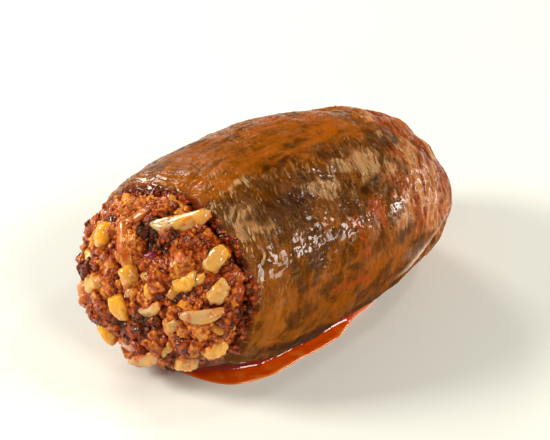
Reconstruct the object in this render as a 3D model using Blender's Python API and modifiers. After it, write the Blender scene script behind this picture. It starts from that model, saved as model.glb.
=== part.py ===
"""Stuffed dried eggplant, cooked.

A thin wrinkled skin, closed at its far end, lies round a filling of mince and rice that heaps out of its
cut end. Metres, +Z up, +X towards the closed tip. It lies on its long side on z = 0, with the origin under
the middle of its box.
"""

import math
import random

import bmesh
import bpy
from mathutils import Matrix, Vector, noise

# The skin
SKIN_LENGTH = 0.0630  # cut rim to closed tip
HALF_WIDTH = 0.0239  # of the widest ring
HEIGHT_SHARE = 0.78  # half height over half width, as the soft body sags
WIDEST_AT = 0.18  # share of the length, from the rim
DOME_POWER = 2.7  # 2 is an ellipsoid, more is blunter
DOME_WALK = 0.84  # share of the mesh's walk from tip to rim that the dome takes
RIM_PINCH = 0.13  # how much narrower the rim is than the widest ring
RIM_SLANT = math.radians(17)  # the top of the rim is set back
RIM_YAW = math.radians(3)  # so is its -Y side
RIM_WAVE = 0.0006  # how far the cut rim wavers
DROOP = math.radians(4.5)  # the axis falls towards the tip
FLATTENING = 0.0028  # how far the round section would sink below the table
FLOOR_BLEND = 0.0013  # rounding between the flat underside and the flanks
LIP_TURN = (0.0013, 0.0028)  # how far the rim turns inward, on its +Y and on its -Y side
LIP_REACH = 0.0013  # how far it rolls forward while it turns
WALL = 0.0010
GAP = 0.0005  # between skin and filling, since touching meshes would overlap
NECK_GAP = 0.0009  # the same at the lip, whose cut edge leans in

# Relief of the skin
LUMP_SIZE = 0.0130
LUMP_HEIGHT = 0.0007
FOLD_SPREAD = 2.6  # of the folds that run into the tip: more gives narrower ones
FOLD_HEIGHT = 0.0006
FOLD_ZONE = (0.65, 0.90)  # shares of the length between which the folds deepen

# The filling
HEAP_REACH = 0.0082  # how far it stands out in front of the lip
HEAP_POWER = 2.1
OVERFLOW = 0.0016  # how far it spills past the neck, on its spilling side
OVERFLOW_SIDE = math.radians(-70)  # the side it spills to: down and +Y
CRAG_SIZE = 0.0042  # spacing of the lumps of mince
CRAG_HEIGHT = 0.0013
HOLLOW_AT = (0.63, math.radians(92))  # share of the way to the front, and angle
HOLLOW_RADIUS = 0.0060
HOLLOW_DEPTH = 0.0024
TABLE_CLEARANCE = 0.0003

# Pieces in the filling: length, width and thickness
GRAIN_SIZE = (0.0086, 0.0029, 0.0023)
NUGGET_SIZE = (0.0047, 0.0037, 0.0033)
CRUMB_SIZE = (0.0038, 0.0033, 0.0028)
# How they are scattered: size, how many, where the outermost lie, and how far from the ones that stand out
SCATTER = {
    "grain": (GRAIN_SIZE, 26, 0.22, 0.0046),
    "nugget": (NUGGET_SIZE, 12, 0.18, 0.0042),
    "crumb": (CRUMB_SIZE, 90, 0.05, 0.0024),
}
PIECE_SEED = 11
SUNK = 0.2  # share of its thickness by which a scattered piece sits deeper than half
SHOWN_SUNK = 0.1  # the same for a piece that stands out
GRAIN_CURL = 0.3  # how far a grain's ends bend, as a share of its width
LEAST_SHARE = 0.5  # a piece with less room than this share of its size is left out
HALF_LENGTH = 0.45  # reach of a piece from its middle, as a share of its length
GOLDEN_ANGLE = math.pi * (3 - math.sqrt(5))

# Long grains that lie in plain sight: share of the way to the front, angle and turn in degrees, and length
SHOWN_GRAINS = (
    (0.19, 98, 35, 0.0104),
    (0.46, 172, 38, 0.0088),
    (0.46, 254, 22, 0.0100),
    (0.89, 204, 36, 0.0070),
)
# Nuggets of onion and short grain that stand out: share, angle, turn and length
SHOWN_NUGGETS = (
    (0.22, 131, 73, 0.0052),
    (0.60, 138, 38, 0.0058),
    (0.84, 50, 130, 0.0044),
    (0.48, 36, 65, 0.0054),
    (0.60, -18, 52, 0.0058),
    (0.83, 306, 116, 0.0048),
    (0.34, 296, 140, 0.0046),
    (0.20, 206, 140, 0.0046),
    (0.28, 234, 160, 0.0042),
    (0.31, 154, 70, 0.0048),
)

# Mesh density
SKIN_AROUND = 60
SKIN_BODY_ROWS = 20
SKIN_LIP_ROWS = 4
FILLING_AROUND = 54
FILLING_BODY_ROWS = 11
HEAP_ROWS = 14
GRAIN_SIDES = 6
GRAIN_RINGS = 4


def clear_scene():
    for old in list(bpy.data.objects):
        bpy.data.objects.remove(old)


def smooth_step(low, high, value):
    share = min(max((value - low) / (high - low), 0.0), 1.0)
    return share * share * (3 - 2 * share)


def on_table(height):
    """Flattens what would lie below z = 0, with a soft edge."""
    if height > FLOOR_BLEND:
        return height
    if height < -FLOOR_BLEND:
        return 0.0
    return (height + FLOOR_BLEND) ** 2 / (4 * FLOOR_BLEND)


def body_station(share):
    """Place along the axis, 1 at the tip and 0 at the rim, and girth, for an even walk from tip to rim."""
    if share < DOME_WALK:
        swing = share / DOME_WALK * math.pi / 2
        along = WIDEST_AT + (1 - WIDEST_AT) * math.cos(swing) ** (2 / DOME_POWER)
        return along, math.sin(swing) ** (2 / DOME_POWER)
    front = (share - DOME_WALK) / (1 - DOME_WALK)
    return WIDEST_AT * (1 - front), 1 - RIM_PINCH * front * front


def relief(point, along, angle):
    """Height of the lumps and of the folds that run into the tip, outward."""
    lumps = noise.noise(point / LUMP_SIZE) + 0.5 * noise.noise(point * 2.1 / LUMP_SIZE)
    near_tip = smooth_step(*FOLD_ZONE, along) * (1 - smooth_step(0.985, 1.0, along))
    folds = noise.noise(Vector((FOLD_SPREAD * math.cos(angle), FOLD_SPREAD * math.sin(angle), along)))
    return LUMP_HEIGHT * lumps + FOLD_HEIGHT * near_tip * folds


def placed(along, out_y, out_z):
    """A point of the tilted, table-bound body: share of the length, and offsets from its axis."""
    set_back = out_z * math.tan(RIM_SLANT) - out_y * math.tan(RIM_YAW)
    set_back += RIM_WAVE * math.sin(5 * math.atan2(out_z, out_y) + 1)
    x = SKIN_LENGTH * along + (1 - along) ** 3 * set_back
    axis_height = HALF_WIDTH * HEIGHT_SHARE - FLATTENING
    sag = math.tan(DROOP) * (x - SKIN_LENGTH / 2)
    return Vector((x, out_y, axis_height + out_z - sag))


def body_point(share, angle):
    """The skin's outer face. Angles run from +Y over the top."""
    along, girth = body_station(share)
    wide = HALF_WIDTH * girth
    point = placed(along, wide * math.cos(angle), wide * HEIGHT_SHARE * math.sin(angle))
    rise = relief(point, along, angle)
    outward = Vector((smooth_step(0.6, 1.0, along), math.cos(angle), math.sin(angle))).normalized()
    if share == 0:
        outward = Vector((1, 0, 0))
    point += outward * rise
    point.z = on_table(point.z)
    return point


def lip_point(turn, angle, inset=0.0):
    """The rim as it rolls forward and in: turn runs from 0 on the body to 1 at the skin's edge."""
    swing = turn * math.pi / 2
    near, far = LIP_TURN
    inward = (near + (far - near) * (0.5 - 0.5 * math.cos(angle)) ** 2) * (1 - math.cos(swing)) + inset
    wide = HALF_WIDTH * (1 - RIM_PINCH)
    start = body_point(1.0, angle)
    flat = placed(0.0, wide * math.cos(angle), wide * HEIGHT_SHARE * math.sin(angle))
    inner = placed(0.0, (wide - inward) * math.cos(angle), (wide * HEIGHT_SHARE - inward) * math.sin(angle))
    point = start + (inner - flat)
    point.x -= LIP_REACH * math.sin(swing)
    point.z = max(point.z, on_table(inner.z))
    return point


def crags(point):
    """Height of the rounded lumps of mince, and of the crevices between them."""
    reach = noise.voronoi(point / CRAG_SIZE)[0][0]
    return CRAG_HEIGHT * (0.6 - 1.4 * reach * reach)


def heap_point(share, angle):
    """The filling's front, from share 0 in the neck of the lip to share 1 at its foremost point."""
    swing = share * math.pi / 2
    closing = math.cos(swing) ** (2 / HEAP_POWER) if share < 1 else 0.0
    forward = math.sin(swing) ** (2 / HEAP_POWER)
    neck = lip_point(1.0, angle, inset=NECK_GAP)
    centre = placed(0.0, 0.0, 0.0) - Vector((LIP_REACH, 0, 0))
    spill = 0.5 + 0.5 * math.cos(angle - OVERFLOW_SIDE)
    swell = OVERFLOW * spill * smooth_step(0.05, 0.30, share)
    radial = neck - centre
    point = centre + radial * closing * (1 + swell / max(radial.length, GAP))
    point.x -= HEAP_REACH * forward + GAP
    outward = (radial.normalized() * closing + Vector((-forward, 0, 0))).normalized()
    return point + outward * crags(point) * smooth_step(0.03, 0.12, share)


def hollowed(point):
    """Sinks the dent that shows in the upper half of the heap's front."""
    away = (point - heap_point(*HOLLOW_AT)).length / HOLLOW_RADIUS
    sink = HOLLOW_DEPTH * (1 - smooth_step(0.0, 1.0, away))
    return point + Vector((sink, 0, 0))


def filling_front(share, angle):
    point = hollowed(heap_point(share, angle))
    point.z = max(point.z, TABLE_CLEARANCE)
    return point


def facing(surface, share, angle):
    """The outward normal of a surface given as a function of share and angle."""
    step = 1e-3
    along = surface(min(share + step, 1.0), angle) - surface(max(share - step, 0.0), angle)
    around = surface(share, angle + step) - surface(share, angle - step)
    return along.cross(around).normalized()


def inset_body(share, angle, depth):
    if share == 0:
        return body_point(share, angle) - Vector((depth, 0, 0))
    outward = facing(body_point, share, angle)
    point = body_point(share, angle) - outward * depth
    point.z = max(point.z, depth)
    return point


def ball_rows(around, rows):
    """A round mesh with its poles on X, and each point's row, counted from the +X pole, and angle."""
    mesh = bmesh.new()
    poles_on_x = Matrix.Rotation(math.pi / 2, 4, "Y")
    bmesh.ops.create_uvsphere(mesh, u_segments=around, v_segments=rows, radius=1, matrix=poles_on_x)
    seats = {}
    for point in mesh.verts:
        row = round(math.acos(min(max(point.co.x, -1), 1)) / math.pi * rows)
        seats[point] = (row, math.atan2(point.co.z, point.co.y))
    return mesh, seats


def object_from(mesh, name, collection):
    data = bpy.data.meshes.new(name)
    mesh.to_mesh(data)
    mesh.free()
    made = bpy.data.objects.new(name, data)
    collection.objects.link(made)
    return made


def finish(name, colour, roughness, coat):
    material = bpy.data.materials.new(name)
    material.use_nodes = True
    shader = material.node_tree.nodes["Principled BSDF"]
    shader.inputs["Base Color"].default_value = (*colour, 1.0)
    shader.inputs["Roughness"].default_value = roughness
    shader.inputs["Metallic"].default_value = 0.0
    shader.inputs["Coat Weight"].default_value = coat
    return material


def smooth_shade(made, angle=math.radians(40)):
    made.data.shade_smooth()
    made.data.set_sharp_from_angle(angle=angle)


def make_skin(collection):
    """An open bag with a rolled lip, thickened inward."""
    skin_rows = SKIN_BODY_ROWS + SKIN_LIP_ROWS
    mesh, seats = ball_rows(SKIN_AROUND, skin_rows + 3)
    beyond = [point for point, (row, _) in seats.items() if row > skin_rows]
    for point, (row, angle) in seats.items():
        if row <= SKIN_BODY_ROWS:
            point.co = body_point(row / SKIN_BODY_ROWS, angle)
        elif row <= skin_rows:
            point.co = lip_point((row - SKIN_BODY_ROWS) / SKIN_LIP_ROWS, angle)
    bmesh.ops.delete(mesh, geom=beyond, context="VERTS")
    skin = object_from(mesh, "skin", collection)
    thicken = skin.modifiers.new("wall", "SOLIDIFY")
    thicken.thickness = WALL
    thicken.offset = -1
    skin.data.materials.append(finish("cooked_skin", (0.16, 0.058, 0.016), 0.32, 0.6))
    smooth_shade(skin)
    return skin


def make_core(collection):
    """The packed filling inside the skin, and the heap in front of it, before its pieces are added."""
    rows = FILLING_BODY_ROWS + HEAP_ROWS
    mesh, seats = ball_rows(FILLING_AROUND, rows)
    for point, (row, angle) in seats.items():
        if row < FILLING_BODY_ROWS:
            point.co = inset_body(row / FILLING_BODY_ROWS, angle, WALL + GAP)
        else:
            point.co = filling_front((row - FILLING_BODY_ROWS) / HEAP_ROWS, angle)
        if row == FILLING_BODY_ROWS:
            point.co.x += WALL + LIP_REACH / 2
    return object_from(mesh, "filling", collection)


def seat_matrix(share, angle, turn, sunk):
    """Lays a piece flat on the heap, turned about the surface's normal, and sunk into it."""
    outward = facing(filling_front, share, angle)
    level = Vector((0, -1, 0)) - outward * outward.dot(Vector((0, -1, 0)))
    level.normalize()
    side = outward.cross(level)
    lie = Matrix((level, side, outward)).transposed().to_4x4()
    place = Matrix.Translation(filling_front(share, angle) - outward * sunk)
    return place @ lie @ Matrix.Rotation(turn, 4, "Z")


def grain_mesh(size, matrix, curl):
    """A plump grain that narrows to its ends and curls a little."""
    mesh = bmesh.new()
    ends_on_x = Matrix.Rotation(math.pi / 2, 4, "Y")
    bmesh.ops.create_uvsphere(
        mesh, u_segments=GRAIN_SIDES, v_segments=GRAIN_RINGS, radius=0.5, matrix=ends_on_x
    )
    for point in mesh.verts:
        bow = curl * (4 * point.co.x**2 - 0.4) * size[1]
        point.co = Vector((point.co.x * size[0], point.co.y * size[1] + bow, point.co.z * size[2]))
    mesh.transform(matrix)
    return mesh


def crumb_mesh(size, matrix, draw):
    """An uneven crumb of mince."""
    mesh = bmesh.new()
    bmesh.ops.create_icosphere(mesh, subdivisions=1, radius=0.5)
    for point in mesh.verts:
        point.co *= draw.uniform(0.88, 1.08)
        point.co = Vector((point.co.x * size[0], point.co.y * size[1], point.co.z * size[2]))
    mesh.transform(matrix)
    return mesh


def spread(count, outermost, draw):
    """Even places over the heap: share of the way to the front, and angle."""
    start = draw.uniform(0, 2 * math.pi)
    for number in range(count):
        disc = math.sqrt((number + 0.5) / count)
        share = 1 - disc * (1 - outermost) + draw.uniform(-0.03, 0.03)
        yield min(share, 0.95), start + number * GOLDEN_ANGLE + draw.uniform(-0.2, 0.2)


def room(share, angle):
    """How far a piece seated there can reach before it meets the lip or the table."""
    place = filling_front(share, angle)
    return min(lip_point(1.0, angle).x - place.x - GAP, place.z - TABLE_CLEARANCE)


def clear_of(seat, taken, distance):
    return all((seat.translation - other.translation).length > distance for other in taken)


def shown_pieces(collection):
    """The pieces that stand out, and their seats."""
    grains = [(place, GRAIN_SIZE, GRAIN_CURL) for place in SHOWN_GRAINS]
    nuggets = [(place, NUGGET_SIZE, 0.0) for place in SHOWN_NUGGETS]
    seats = []
    for (share, angle, turn, length), (_, width, thickness), curl in grains + nuggets:
        seat = seat_matrix(share, math.radians(angle), math.radians(turn), sunk=SHOWN_SUNK * thickness)
        object_from(grain_mesh((length, width, thickness), seat, curl), f"shown_{len(seats)}", collection)
        seats.append(seat)
    return seats


def scattered_pieces(collection, taken):
    """Grains, nuggets and crumbs between the ones that stand out."""
    draw = random.Random(PIECE_SEED)
    for kind, (full_size, count, outermost, distance) in SCATTER.items():
        for number, (share, angle) in enumerate(spread(count, outermost, draw)):
            allowed = room(share, angle) / (HALF_LENGTH * full_size[0])
            wanted = draw.uniform(0.75, 1.2)
            size = [side * min(wanted, allowed) for side in full_size]
            seat = seat_matrix(share, angle, draw.uniform(0, math.pi), sunk=SUNK * size[2])
            curl = draw.uniform(-GRAIN_CURL, GRAIN_CURL)
            if allowed < LEAST_SHARE or not clear_of(seat, taken, distance):
                continue
            mesh = crumb_mesh(size, seat, draw) if kind == "crumb" else grain_mesh(size, seat, curl)
            object_from(mesh, f"{kind}_{number}", collection)


def join_pieces(core, pieces):
    """Fuses every piece in the collection with the core, and removes the separate pieces."""
    union = core.modifiers.new("pieces", "BOOLEAN")
    union.operation = "UNION"
    union.operand_type = "COLLECTION"
    union.collection = pieces
    union.solver = "MANIFOLD"
    bpy.context.view_layer.update()
    whole = bpy.data.meshes.new_from_object(core.evaluated_get(bpy.context.evaluated_depsgraph_get()))
    core.modifiers.clear()
    core.data = whole
    for piece in list(pieces.objects):
        bpy.data.objects.remove(piece)
    bpy.data.collections.remove(pieces)


def keep_largest_body(made):
    """Drops scraps that the union left loose, and the walls of hollows that it sealed."""
    mesh = bmesh.new()
    mesh.from_mesh(made.data)
    waiting = set(mesh.verts)
    bodies = []
    while waiting:
        seed = waiting.pop()
        body, edge = {seed}, [seed]
        while edge:
            for link in edge.pop().link_edges:
                for end in link.verts:
                    if end in waiting:
                        waiting.remove(end)
                        body.add(end)
                        edge.append(end)
        bodies.append(body)
    largest = max(bodies, key=len)
    loose = [point for body in bodies if body is not largest for point in body]
    bmesh.ops.delete(mesh, geom=loose, context="VERTS")
    mesh.to_mesh(made.data)
    mesh.free()


def make_filling(collection):
    pieces = bpy.data.collections.new("filling_pieces")
    bpy.context.scene.collection.children.link(pieces)
    scattered_pieces(pieces, shown_pieces(pieces))
    filling = make_core(collection)
    join_pieces(filling, pieces)
    keep_largest_body(filling)
    filling.data.materials.clear()
    filling.data.materials.append(finish("mince_and_rice", (0.36, 0.11, 0.025), 0.45, 0.4))
    smooth_shade(filling, math.radians(25))
    return filling


def centre_over_origin(parts):
    """Moves the parts so that the origin lies under the middle of their common box."""
    bpy.context.view_layer.update()
    graph = bpy.context.evaluated_depsgraph_get()
    corners = [corner for part in parts for corner in part.evaluated_get(graph).bound_box]
    for side in (0, 1):
        middle = (min(corner[side] for corner in corners) + max(corner[side] for corner in corners)) / 2
        for part in parts:
            part.location[side] -= middle


def main():
    clear_scene()
    eggplant = bpy.data.collections.new("stuffed_eggplant")
    bpy.context.scene.collection.children.link(eggplant)
    skin = make_skin(eggplant)
    filling = make_filling(eggplant)
    centre_over_origin([skin, filling])


main()
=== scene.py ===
"""The looks of a stuffed, cooked eggplant: a thin, wrinkled, oily skin round a heap of mince and rice.

Metres, +Z up, +X towards the closed tip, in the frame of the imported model.
"""

import logging
import math
import random
from dataclasses import dataclass, field, replace
from enum import Enum
from typing import Any, Callable, Iterator

import bmesh
import bpy
import numpy as np
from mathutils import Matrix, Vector, noise


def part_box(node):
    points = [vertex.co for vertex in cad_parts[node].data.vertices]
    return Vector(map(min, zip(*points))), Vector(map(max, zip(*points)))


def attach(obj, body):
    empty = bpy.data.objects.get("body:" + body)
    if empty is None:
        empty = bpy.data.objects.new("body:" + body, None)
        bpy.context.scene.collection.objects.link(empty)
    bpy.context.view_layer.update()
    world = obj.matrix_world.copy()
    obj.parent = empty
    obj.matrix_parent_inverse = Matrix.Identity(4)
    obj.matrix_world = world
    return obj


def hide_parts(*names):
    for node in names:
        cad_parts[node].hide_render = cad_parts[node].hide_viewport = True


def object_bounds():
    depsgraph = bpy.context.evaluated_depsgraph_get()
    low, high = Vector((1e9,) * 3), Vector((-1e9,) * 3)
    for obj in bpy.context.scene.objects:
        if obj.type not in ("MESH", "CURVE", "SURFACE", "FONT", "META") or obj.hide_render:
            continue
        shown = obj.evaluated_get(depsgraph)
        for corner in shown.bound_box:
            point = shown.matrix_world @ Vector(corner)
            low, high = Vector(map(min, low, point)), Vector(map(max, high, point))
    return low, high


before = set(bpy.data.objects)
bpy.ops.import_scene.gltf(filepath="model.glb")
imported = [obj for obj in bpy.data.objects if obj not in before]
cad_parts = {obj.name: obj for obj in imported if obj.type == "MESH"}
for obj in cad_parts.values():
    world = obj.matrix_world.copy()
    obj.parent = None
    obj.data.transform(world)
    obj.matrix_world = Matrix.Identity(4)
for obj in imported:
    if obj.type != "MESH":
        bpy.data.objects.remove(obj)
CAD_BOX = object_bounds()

LOG = logging.getLogger("stuffed_eggplant")
MM = 0.001
FULL_TURN = 2 * math.pi
GOLDEN_ANGLE = math.pi * (3 - math.sqrt(5))

Values = np.ndarray
Points = np.ndarray
Faces = list[tuple[int, ...]]
Surface = Callable[[Values, Values], Points]
Colour = tuple[float, float, float]
Socket = bpy.types.NodeSocket
Place = tuple[float, float, float]


# ---------------------------------------------------------------- numbers and fields


def colour(red: int, green: int, blue: int) -> Colour:
    """Turns screen values from 0 to 255 into the linear values that shaders use."""
    shares = (red / 255, green / 255, blue / 255)
    return tuple(part / 12.92 if part <= 0.04045 else ((part + 0.055) / 1.055) ** 2.4 for part in shares)


def fade(low: float, high: float, value: Values) -> Values:
    """Rises smoothly from 0 where value is at low to 1 where it is at high."""
    share = np.clip((value - low) / (high - low), 0.0, 1.0)
    return share * share * (3 - 2 * share)


def between(value: Values, low: float, full: float, falling: float, high: float) -> Values:
    """1 from full to falling, and smoothly down to 0 at low and at high."""
    return fade(low, full, value) * (1 - fade(falling, high, value))


def soft_noise(points: Points, size: Any, shift: float = 0.0) -> Values:
    """Smooth noise from about -1 to 1.

    Args:
        points: Where it is wanted.
        size: How large its lumps are, as one number or one for each axis.
        shift: Another number gives another pattern.

    Returns:
        One value for each point.
    """
    return np.array([noise.noise(place) for place in (points / np.asarray(size) + shift).tolist()])


def creases(points: Points, size: Any, shift: float = 0.0) -> Values:
    """Thin winding ridges: 1 on a ridge, falling to 0 between them."""
    return np.clip(1 - 3.2 * np.abs(soft_noise(points, size, shift)), 0.0, 1.0)


def cells(points: Points, size: Any, shift: float = 0.0) -> tuple[Values, Values]:
    """A cell pattern: the distance from the cell's centre, and how far from its wall, both in cells."""
    places = (points / np.asarray(size) + shift).tolist()
    found = np.array([noise.voronoi(place)[0][:2] for place in places])
    return found[:, 0], found[:, 1] - found[:, 0]


def unit(vectors: Points) -> Points:
    """Scales each vector to length 1."""
    return vectors / np.maximum(np.linalg.norm(vectors, axis=-1, keepdims=True), 1e-12)


# ---------------------------------------------------------------- the shape of the solids


@dataclass(frozen=True)
class BodyForm:
    """The shape that the solids have. Its own axes have the cut rim near x = 0 and the tip at x = length."""

    length: float = 63.0 * MM
    half_width: float = 23.9 * MM
    height_share: float = 0.78
    widest_at: float = 0.18
    dome_power: float = 2.7
    dome_walk: float = 0.84
    rim_pinch: float = 0.13
    rim_slant: float = math.radians(17)
    rim_yaw: float = math.radians(3)
    rim_wave: float = 0.6 * MM
    droop: float = math.radians(4.5)
    flattening: float = 2.8 * MM
    floor_blend: float = 1.3 * MM
    lip_turn: tuple[float, float] = (1.3 * MM, 2.8 * MM)
    lip_reach: float = 1.3 * MM
    wall: float = 1.0 * MM
    gap: float = 0.5 * MM
    neck_gap: float = 0.9 * MM
    lump_size: float = 13.0 * MM
    lump_height: float = 0.7 * MM
    fold_spread: float = 2.6
    fold_height: float = 0.6 * MM
    fold_zone: tuple[float, float] = (0.65, 0.90)
    heap_reach: float = 8.2 * MM
    heap_power: float = 2.1
    overflow: float = 1.6 * MM
    overflow_side: float = math.radians(-70)
    crag_size: float = 4.2 * MM
    crag_height: float = 1.3 * MM
    hollow_at: tuple[float, float] = (0.63, math.radians(92))
    hollow_radius: float = 6.0 * MM
    hollow_depth: float = 2.4 * MM
    table_clearance: float = 0.3 * MM
    offset: Place = (0.0, 0.0, 0.0)

    @classmethod
    def fitted(cls) -> "BodyForm":
        """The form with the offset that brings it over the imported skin."""
        form = cls()
        share, angle = np.meshgrid(np.linspace(0, 1, 21), np.linspace(0, FULL_TURN, 61))
        shell = form.body(share.ravel(), angle.ravel())
        low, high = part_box("skin")
        across = (low.y + high.y) / 2 - (shell[:, 1].min() + shell[:, 1].max()) / 2
        return replace(form, offset=(high.x - shell[:, 0].max(), across, 0.0))

    def station(self, share: Values) -> tuple[Values, Values]:
        """Place along the axis, 1 at the tip and 0 at the rim, and girth, for an even walk to the rim."""
        power = 2 / self.dome_power
        swing = np.clip(share / self.dome_walk, 0.0, 1.0) * math.pi / 2
        front = np.clip((share - self.dome_walk) / (1 - self.dome_walk), 0.0, 1.0)
        dome = self.widest_at + (1 - self.widest_at) * np.maximum(np.cos(swing), 0.0) ** power
        on_dome = share < self.dome_walk
        along = np.where(on_dome, dome, self.widest_at * (1 - front))
        return along, np.where(on_dome, np.sin(swing) ** power, 1 - self.rim_pinch * front**2)

    def on_table(self, height: Values) -> Values:
        """Flattens what would lie below the table, with a soft edge."""
        blend = self.floor_blend
        soft = (np.clip(height, -blend, blend) + blend) ** 2 / (4 * blend)
        return np.where(height > blend, height, soft)

    def relief(self, points: Points, along: Values, angle: Values) -> Values:
        """Height of the broad lumps and of the folds that run into the tip."""
        lumps = soft_noise(points, self.lump_size) + 0.5 * soft_noise(points * 2.1, self.lump_size)
        near_tip = between(along, *self.fold_zone, 0.985, 1.0)
        ring = np.stack([self.fold_spread * np.cos(angle), self.fold_spread * np.sin(angle), along], 1)
        return self.lump_height * lumps + self.fold_height * near_tip * soft_noise(ring, 1.0)

    def placed(self, along: Values, out_y: Values, out_z: Values) -> Points:
        """A point of the tilted body, from its share of the length and its offsets from the axis."""
        set_back = out_z * math.tan(self.rim_slant) - out_y * math.tan(self.rim_yaw)
        set_back = set_back + self.rim_wave * np.sin(5 * np.arctan2(out_z, out_y) + 1)
        x = self.length * along + (1 - along) ** 3 * set_back
        axis_height = self.half_width * self.height_share - self.flattening
        sag = math.tan(self.droop) * (x - self.length / 2)
        return np.stack([x, out_y + 0 * x, axis_height + out_z - sag], axis=-1)

    def body(self, share: Values, angle: Values) -> Points:
        """The skin's outer face. Angles run from +Y over the top."""
        along, girth = self.station(share)
        wide = self.half_width * girth
        points = self.placed(along, wide * np.cos(angle), wide * self.height_share * np.sin(angle))
        forward = fade(0.6, 1.0, along)
        around = np.where(share > 0, 1.0, 0.0)
        outward = unit(np.stack([forward, around * np.cos(angle), around * np.sin(angle)], 1))
        points = points + outward * self.relief(points, along, angle)[:, None]
        points[:, 2] = self.on_table(points[:, 2])
        return points

    def lip(self, turn: Values, angle: Values, inset: float = 0.0) -> Points:
        """The rim as it rolls forward and in: turn is 0 on the body and 1 at the skin's edge."""
        swing = turn * math.pi / 2
        near, far = self.lip_turn
        turned = near + (far - near) * (0.5 - 0.5 * np.cos(angle)) ** 2
        inward = turned * (1 - np.cos(swing)) + inset
        wide, high = self.rim_size()
        start = self.body(np.ones_like(angle), angle)
        edge = np.zeros_like(angle)
        flat = self.placed(edge, wide * np.cos(angle), high * np.sin(angle))
        inner = self.placed(edge, (wide - inward) * np.cos(angle), (high - inward) * np.sin(angle))
        points = start + (inner - flat)
        points[:, 0] -= self.lip_reach * np.sin(swing)
        points[:, 2] = np.maximum(points[:, 2], self.on_table(inner[:, 2]))
        return points

    def rim_size(self) -> tuple[float, float]:
        """Half the rim's width and half its height."""
        wide = self.half_width * (1 - self.rim_pinch)
        return wide, wide * self.height_share

    def heap(self, share: Values, angle: Values) -> Points:
        """The filling's front, from share 0 in the neck of the lip to share 1 at its foremost point."""
        swing = share * math.pi / 2
        power = 2 / self.heap_power
        closing = np.where(share < 1, np.maximum(np.cos(swing), 0.0) ** power, 0.0)
        forward = np.sin(swing) ** power
        neck = self.lip(np.ones_like(angle), angle, inset=self.neck_gap)
        centre = self.placed(np.zeros(1), np.zeros(1), np.zeros(1))[0] - np.array([self.lip_reach, 0, 0])
        spill = 0.5 + 0.5 * np.cos(angle - self.overflow_side)
        swell = self.overflow * spill * fade(0.05, 0.30, share)
        radial = neck - centre
        reach = np.linalg.norm(radial, axis=1)
        points = centre + radial * (closing * (1 + swell / np.maximum(reach, self.gap)))[:, None]
        points[:, 0] -= self.heap_reach * forward + self.gap
        outward = unit(radial) * closing[:, None]
        outward[:, 0] -= forward
        crags = self.crags(points) * fade(0.03, 0.12, share)
        return points + unit(outward) * crags[:, None]

    def crags(self, points: Points) -> Values:
        """Height of the rounded lumps of mince, and of the crevices between them."""
        reach, _ = cells(points, self.crag_size)
        return self.crag_height * (0.6 - 1.4 * reach * reach)

    def front(self, share: Values, angle: Values) -> Points:
        """The filling's front with its hollow, kept above the table."""
        points = self.heap(share, angle)
        hollow = self.heap(*(np.array([value]) for value in self.hollow_at))[0]
        away = np.linalg.norm(points - hollow, axis=1) / self.hollow_radius
        points[:, 0] += self.hollow_depth * (1 - fade(0.0, 1.0, away))
        points[:, 2] = np.maximum(points[:, 2], self.table_clearance)
        return points

    def packed(self, share: Values, angle: Values, depth: float) -> Points:
        """The face of the filling inside the skin."""
        points = self.body(share, angle) - facing(self.body, share, angle) * depth
        at_tip = share <= 0
        points[at_tip] = self.body(share[at_tip], angle[at_tip]) - np.array([depth, 0, 0])
        points[:, 2] = np.maximum(points[:, 2], depth)
        return points


def facing(surface: Surface, share: Values, angle: Values) -> Points:
    """The outward unit normals of a surface at shares of its walk and angles round it."""
    step = 1e-3
    along = surface(np.minimum(share + step, 1.0), angle) - surface(np.maximum(share - step, 0.0), angle)
    around = surface(share, angle + step) - surface(share, angle - step)
    return unit(np.cross(along, around))


# ---------------------------------------------------------------- meshes


def ball_faces(around: int, rings: int) -> Faces:
    """Faces of a closed form: a pole, rings of points one after another, and a pole.

    Args:
        around: Points in each ring.
        rings: How many rings.

    Returns:
        The faces, turned outward where the rings run from +X to -X.
    """
    last = 1 + around * rings
    faces: Faces = []
    for step in range(around):
        after = (step + 1) % around
        faces.append((0, 1 + step, 1 + after))
        faces.append((last, last - around + after, last - around + step))
    for ring in range(rings - 1):
        near = 1 + ring * around
        far = near + around
        for step in range(around):
            after = (step + 1) % around
            faces.append((near + step, far + step, far + after, near + after))
    return faces


def make_object(name: str, points: Points, faces: Faces, fields: dict[str, Values]) -> bpy.types.Object:
    """Makes a smooth-shaded mesh object.

    Args:
        name: The piece's name.
        points: Its points in the row frame.
        faces: Its faces.
        fields: Values for each point, by the names that the finishes read.

    Returns:
        The object, linked to the scene.
    """
    mesh = bpy.data.meshes.new(name)
    mesh.from_pydata(points.tolist(), [], faces)
    mesh.polygons.foreach_set("use_smooth", np.ones(len(faces), bool))
    for field_name, values in fields.items():
        kept = mesh.attributes.new(field_name, "FLOAT", "POINT")
        kept.data.foreach_set("value", values.astype(np.float32))
    mesh.update()
    made = bpy.data.objects.new(name, mesh)
    bpy.context.scene.collection.objects.link(made)
    return made


def ball(levels: int) -> tuple[Points, Faces]:
    """The points, at distance 1, and the triangles of an even ball."""
    mesh = bmesh.new()
    bmesh.ops.create_icosphere(mesh, subdivisions=levels, radius=1.0)
    points = np.array([point.co[:] for point in mesh.verts])
    faces = [tuple(corner.index for corner in face.verts) for face in mesh.faces]
    mesh.free()
    return points, faces


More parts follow.
